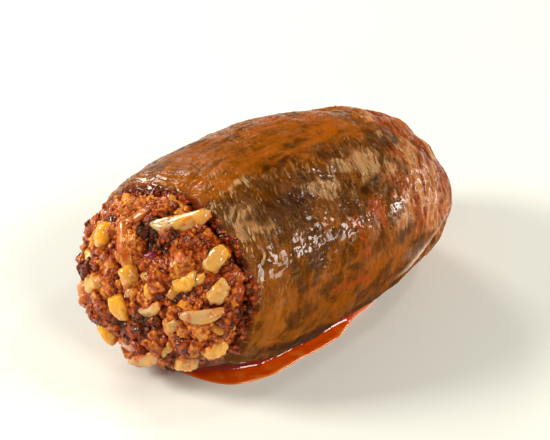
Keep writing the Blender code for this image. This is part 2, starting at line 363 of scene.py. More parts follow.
def long_ball(around: int, rings: int) -> tuple[Points, Faces]:
    """The points, at distance 1, and the faces of a ball whose poles lie on X."""
    swing, angle = np.meshgrid(np.linspace(0, math.pi, rings + 2)[1:-1], ring_angles(around), indexing="ij")
    swing, angle = swing.ravel(), angle.ravel()
    rows = np.stack([np.cos(swing), np.sin(swing) * np.cos(angle), np.sin(swing) * np.sin(angle)], 1)
    return np.vstack([[[1, 0, 0]], rows, [[-1, 0, 0]]]), ball_faces(around, rings)


def ring_angles(around: int) -> Values:
    """Even angles round a ring."""
    return np.linspace(0, FULL_TURN, around, endpoint=False)


class PieceHeap:
    """Many pieces of one kind, gathered into one mesh."""

    def __init__(self, name: str) -> None:
        """Starts with no pieces."""
        self.name = name
        self.points: list[Points] = []
        self.faces: Faces = []
        self.fields: dict[str, list[Values]] = {}
        self.count = 0

    def add(self, points: Points, faces: Faces, **fields: Values | float) -> None:
        """Adds a piece.

        Args:
            points: Its points in the row frame.
            faces: Its faces.
            **fields: A value for each point, or one for the piece, by name.
        """
        start = self.count
        self.faces.extend(tuple(start + corner for corner in face) for face in faces)
        self.points.append(points)
        for name, value in fields.items():
            self.fields.setdefault(name, []).append(np.broadcast_to(value, len(points)))
        self.count += len(points)

    def build(self) -> bpy.types.Object:
        """Joins the pieces."""
        fields = {name: np.concatenate(values) for name, values in self.fields.items()}
        return make_object(self.name, np.vstack(self.points), self.faces, fields)


# ---------------------------------------------------------------- shader nodes


class Graph:
    """A node tree, with short ways to add nodes to it."""

    def __init__(self, tree: bpy.types.NodeTree) -> None:
        """Works on that tree."""
        self.tree = tree

    def node(self, kind: str, feeds: dict[Any, Any] | None = None, **settings: Any) -> bpy.types.Node:
        """Adds a node.

        Args:
            kind: Its type, without the leading "ShaderNode".
            feeds: What goes into its inputs, by name or number: a socket or a plain value.
            **settings: Its own settings.

        Returns:
            The node.
        """
        made = self.tree.nodes.new("ShaderNode" + kind)
        for name, value in settings.items():
            setattr(made, name, value)
        for key, value in (feeds or {}).items():
            self.feed(made.inputs[key], value)
        return made

    def feed(self, socket: bpy.types.NodeSocket, value: Any) -> None:
        """Links a socket to an input, or sets the input to a plain value."""
        if isinstance(value, bpy.types.NodeSocket):
            self.tree.links.new(value, socket)
        elif socket.type == "RGBA" and len(value) == 3:
            socket.default_value = (*value, 1.0)
        else:
            socket.default_value = value

    def calc(self, operation: str, first: Any, second: Any) -> Socket:
        """One step of arithmetic."""
        return self.node("Math", {0: first, 1: second}, operation=operation).outputs[0]

    def plus(self, first: Any, second: Any) -> Socket:
        """The sum of two values."""
        return self.calc("ADD", first, second)

    def minus(self, first: Any, second: Any) -> Socket:
        """The first value less the second."""
        return self.calc("SUBTRACT", first, second)

    def times(self, first: Any, second: Any) -> Socket:
        """The product of two values."""
        return self.calc("MULTIPLY", first, second)

    def most(self, first: Any, second: Any) -> Socket:
        """The larger of two values."""
        return self.calc("MAXIMUM", first, second)

    def reach(self, value: Any, low: Any, high: Any, start: float = 0.0, end: float = 1.0) -> Socket:
        """Maps a value smoothly from low..high to start..end."""
        feeds = {"Value": value, "From Min": low, "From Max": high, "To Min": start, "To Max": end}
        return self.node("MapRange", feeds, interpolation_type="SMOOTHSTEP").outputs["Result"]

    def mix(self, share: Any, first: Any, second: Any) -> Socket:
        """Mixes two colours: share 0 gives the first and 1 the second."""
        return self.node("Mix", {0: share, 6: first, 7: second}, data_type="RGBA").outputs[2]

    def shades(self, value: Any, *stops: tuple[float, Colour]) -> Socket:
        """Turns a value into a colour between stops."""
        made = self.node("ValToRGB", {"Fac": value})
        band = made.color_ramp
        while len(band.elements) < len(stops):
            band.elements.new(0.5)
        for element, (place, shade) in zip(band.elements, stops):
            element.position = place
            element.color = (*shade, 1.0)
        return made.outputs["Color"]

    def noise(self, vector: Any, scale: Any, detail: float = 3.0, distortion: float = 0.0) -> Socket:
        """Noise from 0 to 1."""
        feeds = {"Vector": vector, "Scale": scale, "Detail": detail, "Distortion": distortion}
        return self.node("TexNoise", feeds).outputs["Fac"]

    def dashes(self, vector: Any, scale: float) -> Socket:
        """Scattered marks, each of its own strength."""
        made = self.node("TexVoronoi", {"Vector": vector, "Scale": scale}, feature="F1")
        mark = self.reach(made.outputs["Distance"], 0.24, 0.42, 1.0, 0.0)
        chance = self.node("SeparateColor", {0: made.outputs["Color"]}).outputs[0]
        return self.times(mark, self.reach(chance, 0.3, 0.85))

    def vectors(self, operation: str, first: Any, second: Any) -> Socket:
        """One step of arithmetic on vectors."""
        return self.node("VectorMath", {0: first, 1: second}, operation=operation).outputs[0]

    def field(self, name: str) -> Socket:
        """A value that the mesh holds for each point."""
        return self.node("Attribute", attribute_name=name, attribute_type="GEOMETRY").outputs["Fac"]

    def bump(self, height: Any, distance: float, **onto: Socket) -> Socket:
        """A bumped normal, on top of the one given as Normal if there is one."""
        feeds = {"Height": height, "Distance": distance, "Strength": 1.0, **onto}
        return self.node("Bump", feeds).outputs["Normal"]


class Effects:
    """The effects that several finishes share, as node groups."""

    def __init__(self) -> None:
        """Builds each group once."""
        self.film = self._film()
        self.grit = self._grit()
        self.stain = self._stain()

    @staticmethod
    def _start(name: str, usual: dict[str, float], outputs: tuple[str, ...]) -> tuple[Graph, Any, Any]:
        """Starts a group that works on a vector.

        Args:
            name: Its name.
            usual: Its other inputs and their usual values.
            outputs: Its outputs, all plain values.

        Returns:
            The graph, the sockets that bring its inputs, and those that take its outputs.
        """
        tree = bpy.data.node_groups.new(name, "ShaderNodeTree")
        tree.interface.new_socket("Vector", in_out="INPUT", socket_type="NodeSocketVector")
        for label, value in usual.items():
            made = tree.interface.new_socket(label, in_out="INPUT", socket_type="NodeSocketFloat")
            made.default_value = value
        for label in outputs:
            tree.interface.new_socket(label, in_out="OUTPUT", socket_type="NodeSocketFloat")
        given = tree.nodes.new("NodeGroupInput").outputs
        return Graph(tree), given, tree.nodes.new("NodeGroupOutput").inputs

    def _film(self) -> bpy.types.NodeTree:
        """An oily film that gathers in places: its roughness and how much of it there is."""
        usual = {"Scale": 300.0, "Thin": 0.4, "Thick": 0.15}
        graph, given, out = self._start("oily_film", usual, ("Roughness", "Film"))
        film = graph.reach(graph.noise(given["Vector"], given["Scale"], 4.0, 0.6), 0.38, 0.62)
        span = graph.minus(given["Thick"], given["Thin"])
        graph.feed(out["Roughness"], graph.plus(graph.times(film, span), given["Thin"]))
        graph.feed(out["Film"], film)
        return graph.tree

    def _grit(self) -> bpy.types.NodeTree:
        """Fine wet unevenness: small rounded grains with tinier ones on them."""
        graph, given, out = self._start("wet_grit", {"Scale": 900.0, "Cells": 0.5}, ("Height",))
        coarse = graph.noise(given["Vector"], given["Scale"], 1.2, 0.4)
        feeds = {"Vector": given["Vector"], "Scale": given["Scale"]}
        grains = graph.node("TexVoronoi", feeds, feature="DISTANCE_TO_EDGE")
        wall = graph.reach(grains.outputs["Distance"], 0.0, 0.35)
        graph.feed(out["Height"], graph.plus(coarse, graph.times(wall, given["Cells"])))
        return graph.tree

    def _stain(self) -> bpy.types.NodeTree:
        """Cloudy stains with ragged edges."""
        graph, given, out = self._start("stain", {"Scale": 200.0, "From": 0.45, "To": 0.6}, ("Mask",))
        cloud = graph.noise(given["Vector"], given["Scale"], 5.0, 0.8)
        graph.feed(out["Mask"], graph.reach(cloud, given["From"], given["To"]))
        return graph.tree


class Paint(Graph):
    """A material's graph, with its Principled shader and the place on the object in metres."""

    def __init__(self, name: str) -> None:
        """Makes the material."""
        self.material = bpy.data.materials.new(name)
        self.material.use_nodes = True
        super().__init__(self.material.node_tree)
        self.shader = self.tree.nodes["Principled BSDF"]
        self.place = self.node("TexCoord").outputs["Object"]

    def put(self, inputs: dict[str, Any]) -> bpy.types.Material:
        """Fills the shader's inputs with sockets or plain values, and gives the material."""
        for name, value in inputs.items():
            self.feed(self.shader.inputs[name], value)
        return self.material

    def effect(self, tree: bpy.types.NodeTree, **feeds: Any) -> Any:
        """Lays a shared effect over the object and gives its outputs."""
        return self.node("Group", {"Vector": self.place, **feeds}, node_tree=tree).outputs

    def mottled(self, name: str, amount: float, *settings: float) -> Socket:
        """A field of the mesh, made uneven by that amount of noise with those settings."""
        uneven = self.reach(self.noise(self.place, *settings), 0.3, 0.7, -amount, amount)
        return self.plus(self.field(name), uneven)


@dataclass(frozen=True)
class SkinFinish:
    """Thin cooked eggplant skin: glossy, streaked, blotched from olive brown to orange."""

    effects: Effects
    umber: Colour = colour(76, 38, 0)
    brown: Colour = colour(98, 50, 0)
    amber: Colour = colour(140, 73, 0)
    orange: Colour = colour(162, 80, 0)
    # dark is the skin's own dark patches, and also the painted shade in its sunk spots
    dark: Colour = colour(54, 20, 0)
    red: Colour = colour(162, 60, 0)
    # The grey patches paint a whitish sheen, a painted reflection, over the olive brown skin
    grey_sheen: Colour = colour(190, 148, 100)
    tan: Colour = colour(174, 98, 20)
    flush: Colour = colour(132, 38, 2)
    rose: Colour = colour(174, 80, 24)
    # pale is partly the skin's own pale veins and partly a painted highlight on the crests
    pale: Colour = colour(210, 144, 84)
    # Pale strokes: partly the skin's own pale fibres, partly painted glints on the wrinkles
    pale_fibre_and_glint: Colour = colour(222, 180, 116)
    # A painted highlight along the fold's edge
    fold_highlight: Colour = colour(244, 216, 188)
    edge: Colour = colour(96, 30, 2)

    def make(self) -> bpy.types.Material:
        """Builds the material."""
        paint = Paint("cooked_skin")
        by_rim = self.by_rim(paint)
        lengthways = paint.vectors("MULTIPLY", paint.place, (0.2, 1.0, 1.0))
        marks = paint.most(paint.dashes(by_rim, 340.0), paint.dashes(by_rim, 610.0))
        marks = paint.times(marks, paint.field("dashed"))
        base = self.blotched(paint, by_rim)
        streaks = paint.times(paint.dashes(lengthways, 1300.0), paint.field("wrinkled"))
        for share, shade in (
            # Painted shade: dark brown laid into the sunk spots between the wrinkles
            (paint.times(paint.field("sunk"), 0.6), self.dark),
            # Pale strokes and streaks: partly the skin's own fibres, partly painted glints
            (paint.times(streaks, 0.2), self.pale_fibre_and_glint),
            (paint.times(marks, 0.9), self.pale_fibre_and_glint),
            # Pale crests: partly the skin's own pale veins, partly a painted highlight
            (paint.field("ridge"), self.pale),
            # Painted highlight: near-white along the fold's edge
            (paint.times(paint.field("fold"), 0.9), self.fold_highlight),
            (paint.field("edge"), self.edge),
        ):
            base = paint.mix(share, base, shade)
        film = paint.effect(self.effects.film, Scale=260.0, Thin=0.30, Thick=0.16)
        gloss = paint.times(paint.reach(film["Film"], 0.0, 1.0, 0.5, 1.0), paint.field("gloss"))
        crinkle = paint.effect(self.effects.grit, Scale=900.0, Cells=0.8)["Height"]
        crisp = paint.reach(paint.field("gloss"), 0.0, 1.0, 0.35, 1.0)
        normal = paint.bump(paint.times(crinkle, crisp), 0.19 * MM)
        normal = paint.bump(paint.noise(lengthways, 800.0, 0.5, 0.3), 0.10 * MM, Normal=normal)
        return paint.put({
            "Base Color": base,
            "Roughness": paint.plus(film["Roughness"], paint.times(paint.field("low"), 0.65)),
            "Coat Weight": paint.most(gloss, paint.times(marks, 0.8)),
            "Coat Roughness": 0.05,
            "Specular IOR Level": 0.09,
            "Specular Tint": (1.0, 0.72, 0.30),
            "Subsurface Weight": 0.06,
            "Subsurface Radius": (1.0, 0.35, 0.1),
            "Subsurface Scale": 0.0012,
            "Normal": paint.bump(marks, 0.14 * MM, Normal=normal),
        })

    def blotched(self, paint: Paint, by_rim: Socket) -> Socket:
        """The streaked ground with its patches.

        Args:
            paint: Where the nodes go.
            by_rim: The place as by_rim() gives it.

        Returns:
            The colour.
        """
        place = paint.place
        streak = paint.noise(paint.vectors("MULTIPLY", place, (0.24, 1.0, 1.0)), 560.0, 3.0, 0.5)
        strokes = paint.noise(by_rim, 300.0, 2.0, 1.0)
        lengthwise = paint.reach(paint.field("shade"), -0.1, 0.7, 0.15, 1.0)
        turned = paint.times(paint.minus(strokes, streak), paint.minus(1.0, lengthwise))
        grain = paint.plus(streak, turned)
        ragged = paint.plus(paint.times(paint.noise(place, 520.0, 4.0, 0.6), 0.5), paint.times(grain, 0.5))
        clouds = paint.times(paint.noise(place, 210.0, 3.0, 0.8), 0.55)
        ground = paint.plus(clouds, paint.times(grain, 0.45))
        ground = paint.plus(ground, paint.times(paint.field("shade"), 0.10))
        stops = ((0.36, self.umber), (0.46, self.brown), (0.56, self.amber), (0.68, self.orange))
        base = paint.shades(ground, *stops)
        bands = paint.noise(by_rim, 130.0, 2.0, 0.8)
        unlike = paint.minus(paint.noise(place, 150.0, 3.0, 0.8), bands)
        bands = paint.plus(bands, paint.times(unlike, paint.field("tip")))
        blush = paint.shades(bands, (0.41, self.flush), (0.49, self.rose), (0.60, self.pale))
        for patch, shade, strength in (
            ("tan", self.tan, 0.5),
            ("dome", blush, 0.85),
            # Painted sheen: pale grey laid into the grey patches
            ("grey_sheen", self.grey_sheen, paint.reach(strokes, 0.40, 0.57, 0.12, 0.86)),
            ("dark", self.dark, 0.85),
            ("red", self.red, 0.66),
        ):
            share = paint.field(patch)
            edged = paint.reach(paint.plus(share, paint.reach(ragged, 0.3, 0.7, -0.6, 0.6)), 0.1, 1.05)
            edged = paint.times(edged, paint.reach(share, 0.0, 0.2, 0.3))
            base = paint.mix(paint.times(edged, strength), base, shade)
        return base

    @staticmethod
    def by_rim(paint: Paint) -> Socket:
        """The place with its distance from the rim spread out, so that marks on it run round the fruit."""
        slant = paint.times(paint.node("SeparateXYZ", {0: paint.place}).outputs[1], -0.4)
        sway = paint.times(paint.noise(paint.place, 240.0, 1.0), 0.0022)
        run = paint.plus(paint.field("run"), paint.plus(slant, sway))
        spread = paint.node("CombineXYZ", {0: paint.times(run, 3.6)}).outputs[0]
        return paint.vectors("ADD", paint.vectors("MULTIPLY", paint.place, (0.0, 1.0, 1.0)), spread)


@dataclass(frozen=True)
class MinceFinish:
    """Cooked mince in oily tomato: orange brown, lighter on its lumps' tops as painted highlight, dark red in
    its crevices as painted shade.
    """

    effects: Effects
    # Painted shade in the crevices
    crevice_shade: Colour = colour(56, 11, 0)
    deep: Colour = colour(122, 32, 0)
    body: Colour = colour(186, 76, 2)
    # The lightest stop, reached mostly on the tops of lumps, where it is a painted highlight
    high: Colour = colour(232, 148, 50)
    stain: Colour = colour(140, 32, 0)

    def make(self) -> bpy.types.Material:
        """Builds the material."""
        paint = Paint("mince")
        level = paint.mottled("tint", 0.28, 1100.0, 3.0, 0.3)
        stops = ((0.05, self.crevice_shade), (0.32, self.deep), (0.6, self.body), (0.95, self.high))
        base = paint.shades(level, *stops)
        stain = paint.effect(self.effects.stain, Scale=330.0, From=0.52, To=0.64)["Mask"]
        film = paint.effect(self.effects.film, Scale=520.0, Thin=0.40, Thick=0.14)
        grit = paint.effect(self.effects.grit, Scale=1200.0, Cells=0.5)["Height"]
        return paint.put({
            "Base Color": paint.mix(paint.times(stain, 0.6), base, self.stain),
            "Roughness": film["Roughness"],
            "Coat Weight": paint.times(film["Film"], 0.6),
            "Coat Roughness": 0.10,
            "Specular IOR Level": 0.35,
            "Specular Tint": (1.0, 0.76, 0.40),
            "Subsurface Weight": 0.15,
            "Subsurface Radius": (1.0, 0.4, 0.15),
            "Subsurface Scale": 0.0009,
            "Normal": paint.bump(grit, 0.24 * MM),
        })


@dataclass(frozen=True)
class GrainFinish:
    """Boiled rice or onion, half clear, orange towards its underside, and stained by the oil in places."""

    effects: Effects
    name: str = "rice"
    clear: Colour = colour(200, 162, 108)
    body: Colour = colour(220, 162, 76)
    yellow: Colour = colour(246, 172, 34)
    stain: Colour = colour(192, 78, 0)
    stain_from: float = 0.46

    def make(self) -> bpy.types.Material:
        """Builds the material."""
        paint = Paint(self.name)
        level = paint.mottled("tint", 0.3, 420.0, 1.5, 0.4)
        base = paint.shades(level, (0.05, self.clear), (0.45, self.body), (0.9, self.yellow))
        edges = {"From": self.stain_from, "To": self.stain_from + 0.3}
        stain = paint.effect(self.effects.stain, Scale=380.0, **edges)["Mask"]
        # Orange towards the underside, and in the stains
        soaked = paint.reach(paint.plus(paint.field("foot"), stain), 0.05, 1.0, 0.0, 0.92)
        film = paint.effect(self.effects.film, Scale=400.0, Thin=0.34, Thick=0.12)
        grit = paint.effect(self.effects.grit, Scale=1000.0, Cells=0.3)["Height"]
        return paint.put({
            "Base Color": paint.mix(soaked, base, self.stain),
            "Roughness": film["Roughness"],
            "Coat Weight": film["Film"],
            "Coat Roughness": 0.06,
            "Specular Tint": (1.0, 0.88, 0.66),
            "Subsurface Weight": 0.65,
            "Subsurface Radius": (1.0, 0.55, 0.2),
            "Subsurface Scale": 0.0018,
            "Normal": paint.bump(grit, 0.08 * MM),
        })


@dataclass(frozen=True)
class BitFinish:
    """Scraps of cooked onion and herb: purple red to green black, and wet."""

    effects: Effects
    purple: Colour = colour(124, 18, 46)
    red: Colour = colour(164, 28, 16)
    herb: Colour = colour(50, 42, 12)

    def make(self) -> bpy.types.Material:
        """Builds the material."""
        paint = Paint("scraps")
        level = paint.mottled("tint", 0.12, 900.0, 3.0)
        film = paint.effect(self.effects.film, Scale=400.0, Thin=0.35, Thick=0.15)
        grit = paint.effect(self.effects.grit, Scale=1300.0, Cells=0.3)["Height"]
        return paint.put({
            "Base Color": paint.shades(level, (0.1, self.herb), (0.4, self.purple), (0.85, self.red)),
            "Roughness": film["Roughness"],
            "Coat Weight": paint.times(film["Film"], 0.4),
            "Coat Roughness": 0.12,
            "Normal": paint.bump(grit, 0.1 * MM),
        })


@dataclass(frozen=True)
class OilFinish:
    """Orange-red cooking oil: pale orange where it is thin, dark red where it is deep."""

    effects: Effects
    thin: Colour = colour(238, 150, 62)
    body: Colour = colour(226, 80, 0)
    deep: Colour = colour(160, 30, 0)

    def make(self) -> bpy.types.Material:
        """Builds the material."""
        paint = Paint("oil")
        level = paint.mottled("depth", 0.12, 300.0, 3.0, 0.5)
        return paint.put({
            "Base Color": paint.shades(level, (0.05, self.thin), (0.4, self.body), (0.9, self.deep)),
            "Roughness": paint.effect(self.effects.film, Scale=200.0, Thin=0.12, Thick=0.05)["Roughness"],
            "Coat Weight": 0.6,
            "Coat Roughness": 0.04,
        })


@dataclass(frozen=True)
class FloorFinish:
    """A plain pale table."""

    pale: Colour = colour(245, 247, 238)

    def make(self) -> bpy.types.Material:
        """Builds the material."""
        paint = Paint("table")
        cloud = paint.noise(paint.place, 20.0, 2.0)
        return paint.put({"Base Color": self.pale, "Roughness": paint.reach(cloud, 0.3, 0.7, 0.42, 0.5)})


# ---------------------------------------------------------------- the skin


class Patch(Enum):
    """Kinds of patches in the skin's colour and gloss."""

    DARK = "dark"
    RED = "red"
    GREY_SHEEN = "grey_sheen"
    TAN = "tan"
    GLOSS = "gloss"


# The fold's line: its angle where it starts, how many degrees it climbs for each millimetre, where it
# starts, and the body's radius there, both in millimetres
FOLD_SIDE = 193
FOLD_CLIMB = 1.35
FOLD_START = 37
FOLD_RADIUS = 17
# For each patch: distance from the rim, angle from +Y over the top, half length along, half width around
PATCHES = {
    Patch.DARK: (
        (13.0, 124, 6.0, 2.6), (33.5, 133, 3.5, 1.0), (2.0, 112, 2.0, 3.0), (47.0, 113, 3.0, 1.0),
        (45.0, 131, 1.0, 2.0), (12.0, 206, 10.0, 2.5), (22.0, 102, 6.0, 0.9),
    ),
    Patch.RED: (
        (26.0, 153, 1.3, 4.6), (32.5, 148, 1.3, 3.0), (37.0, 158, 1.0, 1.6), (50.0, 140, 2.6, 1.6),
        (34.5, 67, 3.0, 1.0), (1.5, 81, 1.6, 2.2), (22.0, 176, 5.0, 1.4), (49.0, 119, 3.0, 1.0),
        (56.0, 102, 4.5, 4.0),
    ),
    # The grey patches are painted sheen; they also carry folds in the relief
    Patch.GREY_SHEEN: (
        (25.0, 124, 3.4, 2.0), (31.5, 117, 2.6, 1.8), (38.0, 121, 4.4, 3.2), (42.0, 128, 3.0, 2.4),
        (9.0, 129, 3.0, 1.2), (6.5, 122, 2.0, 3.4), (12.0, 103, 4.0, 0.8), (38.0, 158, 3.0, 1.6),
    ),
    Patch.TAN: ((45.0, 168, 4.0, 3.0), (53.0, 126, 3.0, 3.0), (2.0, 186, 2.6, 6.0)),
    Patch.GLOSS: (
        (3.0, 152, 4.6, 5.6), (8.0, 149, 4.0, 5.0), (14.0, 145, 5.0, 5.2), (20.0, 141, 5.0, 5.0),
        (26.0, 138, 4.0, 4.0), (29.0, 150, 1.8, 3.0), (38.0, 149, 3.0, 2.6), (44.0, 160, 3.0, 1.6),
        (42.0, 183, 7.0, 1.6), (50.0, 140, 5.0, 9.0), (2.6, 66, 3.0, 5.0), (4.0, 112, 3.0, 3.4),
        (24.0, 118, 8.0, 2.4),
    ),
}


@dataclass
class Skin:
    """The skin as a closed shell: outer face, rolled lip and inner wall."""

    form: BodyForm
    around: int = 400
    rows: int = 226
    inner_steps: tuple[int, ...] = (1, 3, 6, 10, 15, 24, 40, 62, 90, 125, 160, 195)

    def walk(self) -> tuple[Values, Values]:
        """Even steps from the tip over the rim to the skin's edge.

        Returns:
            Each row's share of the body, and its turn of the lip.
        """
        dense = np.concatenate([np.linspace(0, 1, 1500), 1 + np.linspace(0, 1, 80)[1:]])
        side = np.full_like(dense, math.radians(150))
        line = self.surface(dense, side)
        run = np.concatenate([[0], np.cumsum(np.linalg.norm(np.diff(line, axis=0), axis=1))])
        even = np.interp(np.linspace(0, run[-1], self.rows + 1), run, dense)
        return np.minimum(even, 1.0), np.maximum(even - 1.0, 0.0)

    def surface(self, walk: Values, angle: Values) -> Points:
        """The form's outer face for walks from 0 at the tip over 1 at the rim to 2 at the edge."""
        on_body = self.form.body(np.minimum(walk, 1.0), angle)
        on_lip = self.form.lip(np.maximum(walk - 1.0, 0.0), angle)
        return np.where((walk > 1.0)[:, None], on_lip, on_body)

    def relief(self, points: Points, run: Values, angle: Values) -> tuple[Values, dict[str, Values]]:
        """The skin's wrinkles.

        Args:
            points: The form's outer face.
            run: Distance of each point from the skin's edge, along the face.
            angle: Its angle.

        Returns:
            Height of each point over the form, and the fields that the finish reads.
        """
        ring = points.copy()
        ring[:, 0] = run
        warp = soft_noise(points, 6 * MM, 3.0)
        degrees = np.degrees(angle) % 360
        along = points[:, 0]
        top = between(degrees, 30, 80, 95, 115)
        middle = between(degrees, 95, 108, 128, 150)
        shade = top - middle * (1 - 0.6 * fade(14 * MM, 24 * MM, along)) - fade(195, 212, degrees)
        shade += 0.25 * fade(150, 165, degrees) - 0.3 * middle
        near_rim = 1 - fade(3 * MM, 17 * MM, run)
        share = along / self.form.length
        dome = fade(0.62, 0.80, share + 0.03 * warp)
        blush = fade(0.72, 0.87, share + 0.14 * fade(104, 135, degrees) + 0.05 * warp)
        blush *= 1 - 0.75 * fade(168, 182, degrees) * (1 - fade(50 * MM, 56 * MM, along))
        flank = (1 - dome) * (1 - 0.6 * near_rim)

        lumps = soft_noise(points, 4.6 * MM, 11.0)
        small_lumps = soft_noise(points, 2.1 * MM, 17.0)
        fibre_place = ring.copy()
        fibre_place[:, 0] += 1.6 * MM * warp + 0.05 * points[:, 2]
        fibres = creases(fibre_place, (1.5 * MM, 8 * MM, 8 * MM), 5.0)
        streaks = soft_noise(ring, (9 * MM, 0.9 * MM, 0.9 * MM), 7.0)
        slanted = ring + np.outer(0.25 * ring[:, 1] + 0.9 * MM * warp, [1.0, 0.0, 0.0])
        strokes = creases(slanted, (1.3 * MM, 3.6 * MM, 3.6 * MM), 15.0) ** 1.5
        _, wall = cells(points + 0.3 * MM * warp[:, None], 1.35 * MM, 2.0)
        net = 1 - fade(0.0, 0.32, wall)
        vein_place = np.stack([run, 13 * MM * np.cos(angle), 13 * MM * np.sin(angle)], 1)
        vein_place += 1.0 * MM * np.stack([2.2 * warp, small_lumps + warp, lumps], 1)
        _, dome_wall = cells(vein_place, (2.5 * MM, 5.4 * MM, 5.4 * MM), 9.0)
        veins = 1 - fade(0.0, 0.30, dome_wall)
        folds = creases(points + 1.2 * MM * warp[:, None], (2.6 * MM, 3.4 * MM, 2.2 * MM), 21.0)

        patches = self.patch_fields(points, angle, warp, small_lumps)
        height = near_rim * (0.26 * MM * fibres ** 1.5 + 0.06 * MM * streaks)
        height += flank * (0.13 * MM * net + 0.05 * MM * streaks * (1 + top))
        height += (1 - dome) * middle * 0.16 * MM * strokes
        height += dome * (0.34 * MM * veins + 0.10 * MM * folds)
        height += patches["grey_sheen"] * 0.24 * MM * folds
        # sunk marks the low spots between the wrinkles, where the finish paints shade
        sunk = fade(0.0, 0.16 * MM, 0.10 * MM - height) * fade(-0.5, 0.6, small_lumps)
        fold, fold_edge = self.fold(points, degrees)
        height += 0.26 * MM * lumps + 0.12 * MM * small_lumps + fold
        height *= fade(0.2 * MM, 2.2 * MM, points[:, 2])
        # ridge: pale on the crests, partly the skin's own pale veins and partly a painted highlight
        pale_vein_and_highlight = 0.36 * (1 - 0.8 * fade(48 * MM, 56 * MM, along)) * (0.2 + 0.8 * blush) * (1 - 0.6 * top)
        ridge = pale_vein_and_highlight * dome * veins + 0.10 * near_rim * fibres
        ridge += 0.5 * patches["grey_sheen"] * folds**2.5 + 0.08 * (1 - dome) * middle * strokes
        ridge = np.clip(ridge, 0, 1)
        glossy = np.clip(fold_edge + 0.7 * dome * veins * (1 - top), 0, 1)
        patches["gloss"] = np.maximum(patches["gloss"], glossy)
        tip = fade(52 * MM, 59 * MM, along)
        fields = {"ridge": ridge * (1 - 0.6 * tip), "dome": blush, "shade": shade, "run": run, "tip": tip}
        broken = fade(0.1, 0.45, 0.3 + soft_noise(points, 3.4 * MM, 41.0))
        in_front = between(degrees, 86, 98, 150, 170)
        dashed = np.maximum(near_rim * (0.1 + 0.9 * in_front), 0.75 * dome * (1 - 0.9 * tip)) * broken
        dashed = np.maximum(dashed, 0.28 * (1 - dome) * middle * broken)
        # Over the lip the pale strokes paint the rim's highlight
        over_lip = (1 - fade(3 * MM, 5 * MM, run)) * between(degrees, 50, 58, 75, 83)
        dashed = np.maximum(dashed, 0.9 * over_lip)
        fields["dashed"] = np.clip(np.maximum(dashed, 0.35 * patches["grey_sheen"]) - 0.45 * patches["dark"], 0, 1)
        fields["wrinkled"] = (1 - near_rim) * (1 - dome) * fade(-0.1, 0.5, soft_noise(points, 7 * MM, 43.0))
        fields["wrinkled"] *= 1 - 0.7 * middle
        low = between(degrees, 158, 190, 300, 340) * (1 - fold_edge)
        fields["sunk"] = sunk * (1 - 0.7 * low)
        dull = between(degrees, 40, 60, 84, 95) * between(run, 4 * MM, 7 * MM, 15 * MM, 22 * MM)
        fields["low"] = np.maximum(low, 0.4 * dull)
        # fold: where the finish paints a near-white highlight along the fold's edge
        fields["fold"] = np.clip(fold_edge, 0, 1)
        fields["edge"] = 1 - fade(0.4 * MM, 2.0 * MM, run + 0.8 * MM * warp)
        fields.update(patches)
        return height, fields

    @staticmethod
    def fold(points: Points, degrees: Values) -> tuple[Values, Values]:
        """The sharp fold low on the dome, where the skin tucks under.

        Args:
            points: The form's outer face.
            degrees: Angles from +Y over the top.

        Returns:
            Height of the fold, and how near its edge each point is.
        """

        def crest(middle: float, width: Any) -> Values:
            """1 on a line beside the fold's edge, falling away on both sides."""
            return np.exp(-(((off - middle) / width) ** 2))

        along = points[:, 0]
        line = FOLD_SIDE - FOLD_CLIMB * (along / MM - FOLD_START)
        off = np.radians(degrees - line) * FOLD_RADIUS + 0.5 * soft_noise(points, 4 * MM, 71.0)
        length = between(along, 34 * MM, 39 * MM, 53 * MM, 58 * MM)
        edge = length * crest(0.0, 0.36 + 0.3 * fade(44 * MM, 38 * MM, along))
        second = 0.35 * length * crest(3.4, 0.5)
        swell = length * crest(0.0, np.where(off < 0, 1.9, 0.5))
        groove = length * (0.3 * crest(-2.6, 0.8) + crest(1.7, 0.8))
        height = 0.34 * edge + 0.36 * swell + 0.6 * second - 0.35 * groove
        return height * MM, edge * (1 - 0.6 * fade(42 * MM, 46 * MM, along))

    def patch_fields(self, points: Points, angle: Values, warp: Values, fine: Values) -> dict[str, Values]:
        """How much of each kind of patch lies at each point."""
        fields = {kind.value: np.zeros(len(points)) for kind in Patch}
        radius = 20 * MM
        drift = 2.2 * soft_noise(points, 2.8 * MM, 61.0)
        for kind, spots in PATCHES.items():
            for distance, turned, long, wide in spots:
                off_x = (points[:, 0] + drift * MM - distance * MM) / (long * MM)
                turn = (angle - math.radians(turned) + math.pi) % FULL_TURN - math.pi
                off_y = (turn * radius + 1.3 * fine * MM) / (wide * MM)
                away = np.hypot(off_x, off_y) + 0.5 * warp + 0.3 * fine
                fields[kind.value] = np.maximum(fields[kind.value], 1 - fade(0.35, 1.5, away))
        hidden = 1 - between(np.degrees(angle) % 360, 35, 58, 205, 225)
        for shift, kind in enumerate(Patch):
            cloud = soft_noise(points, (9 * MM, 6 * MM, 6 * MM), 31.0 + 7 * shift)
            strength, start = (1.0, 0.12) if kind is Patch.GLOSS else (0.45, 0.22)
            fields[kind.value] = np.maximum(fields[kind.value], strength * hidden * fade(start, 0.6, cloud))
        fields["gloss"] = 0.06 + 0.94 * fields["gloss"]
        return fields

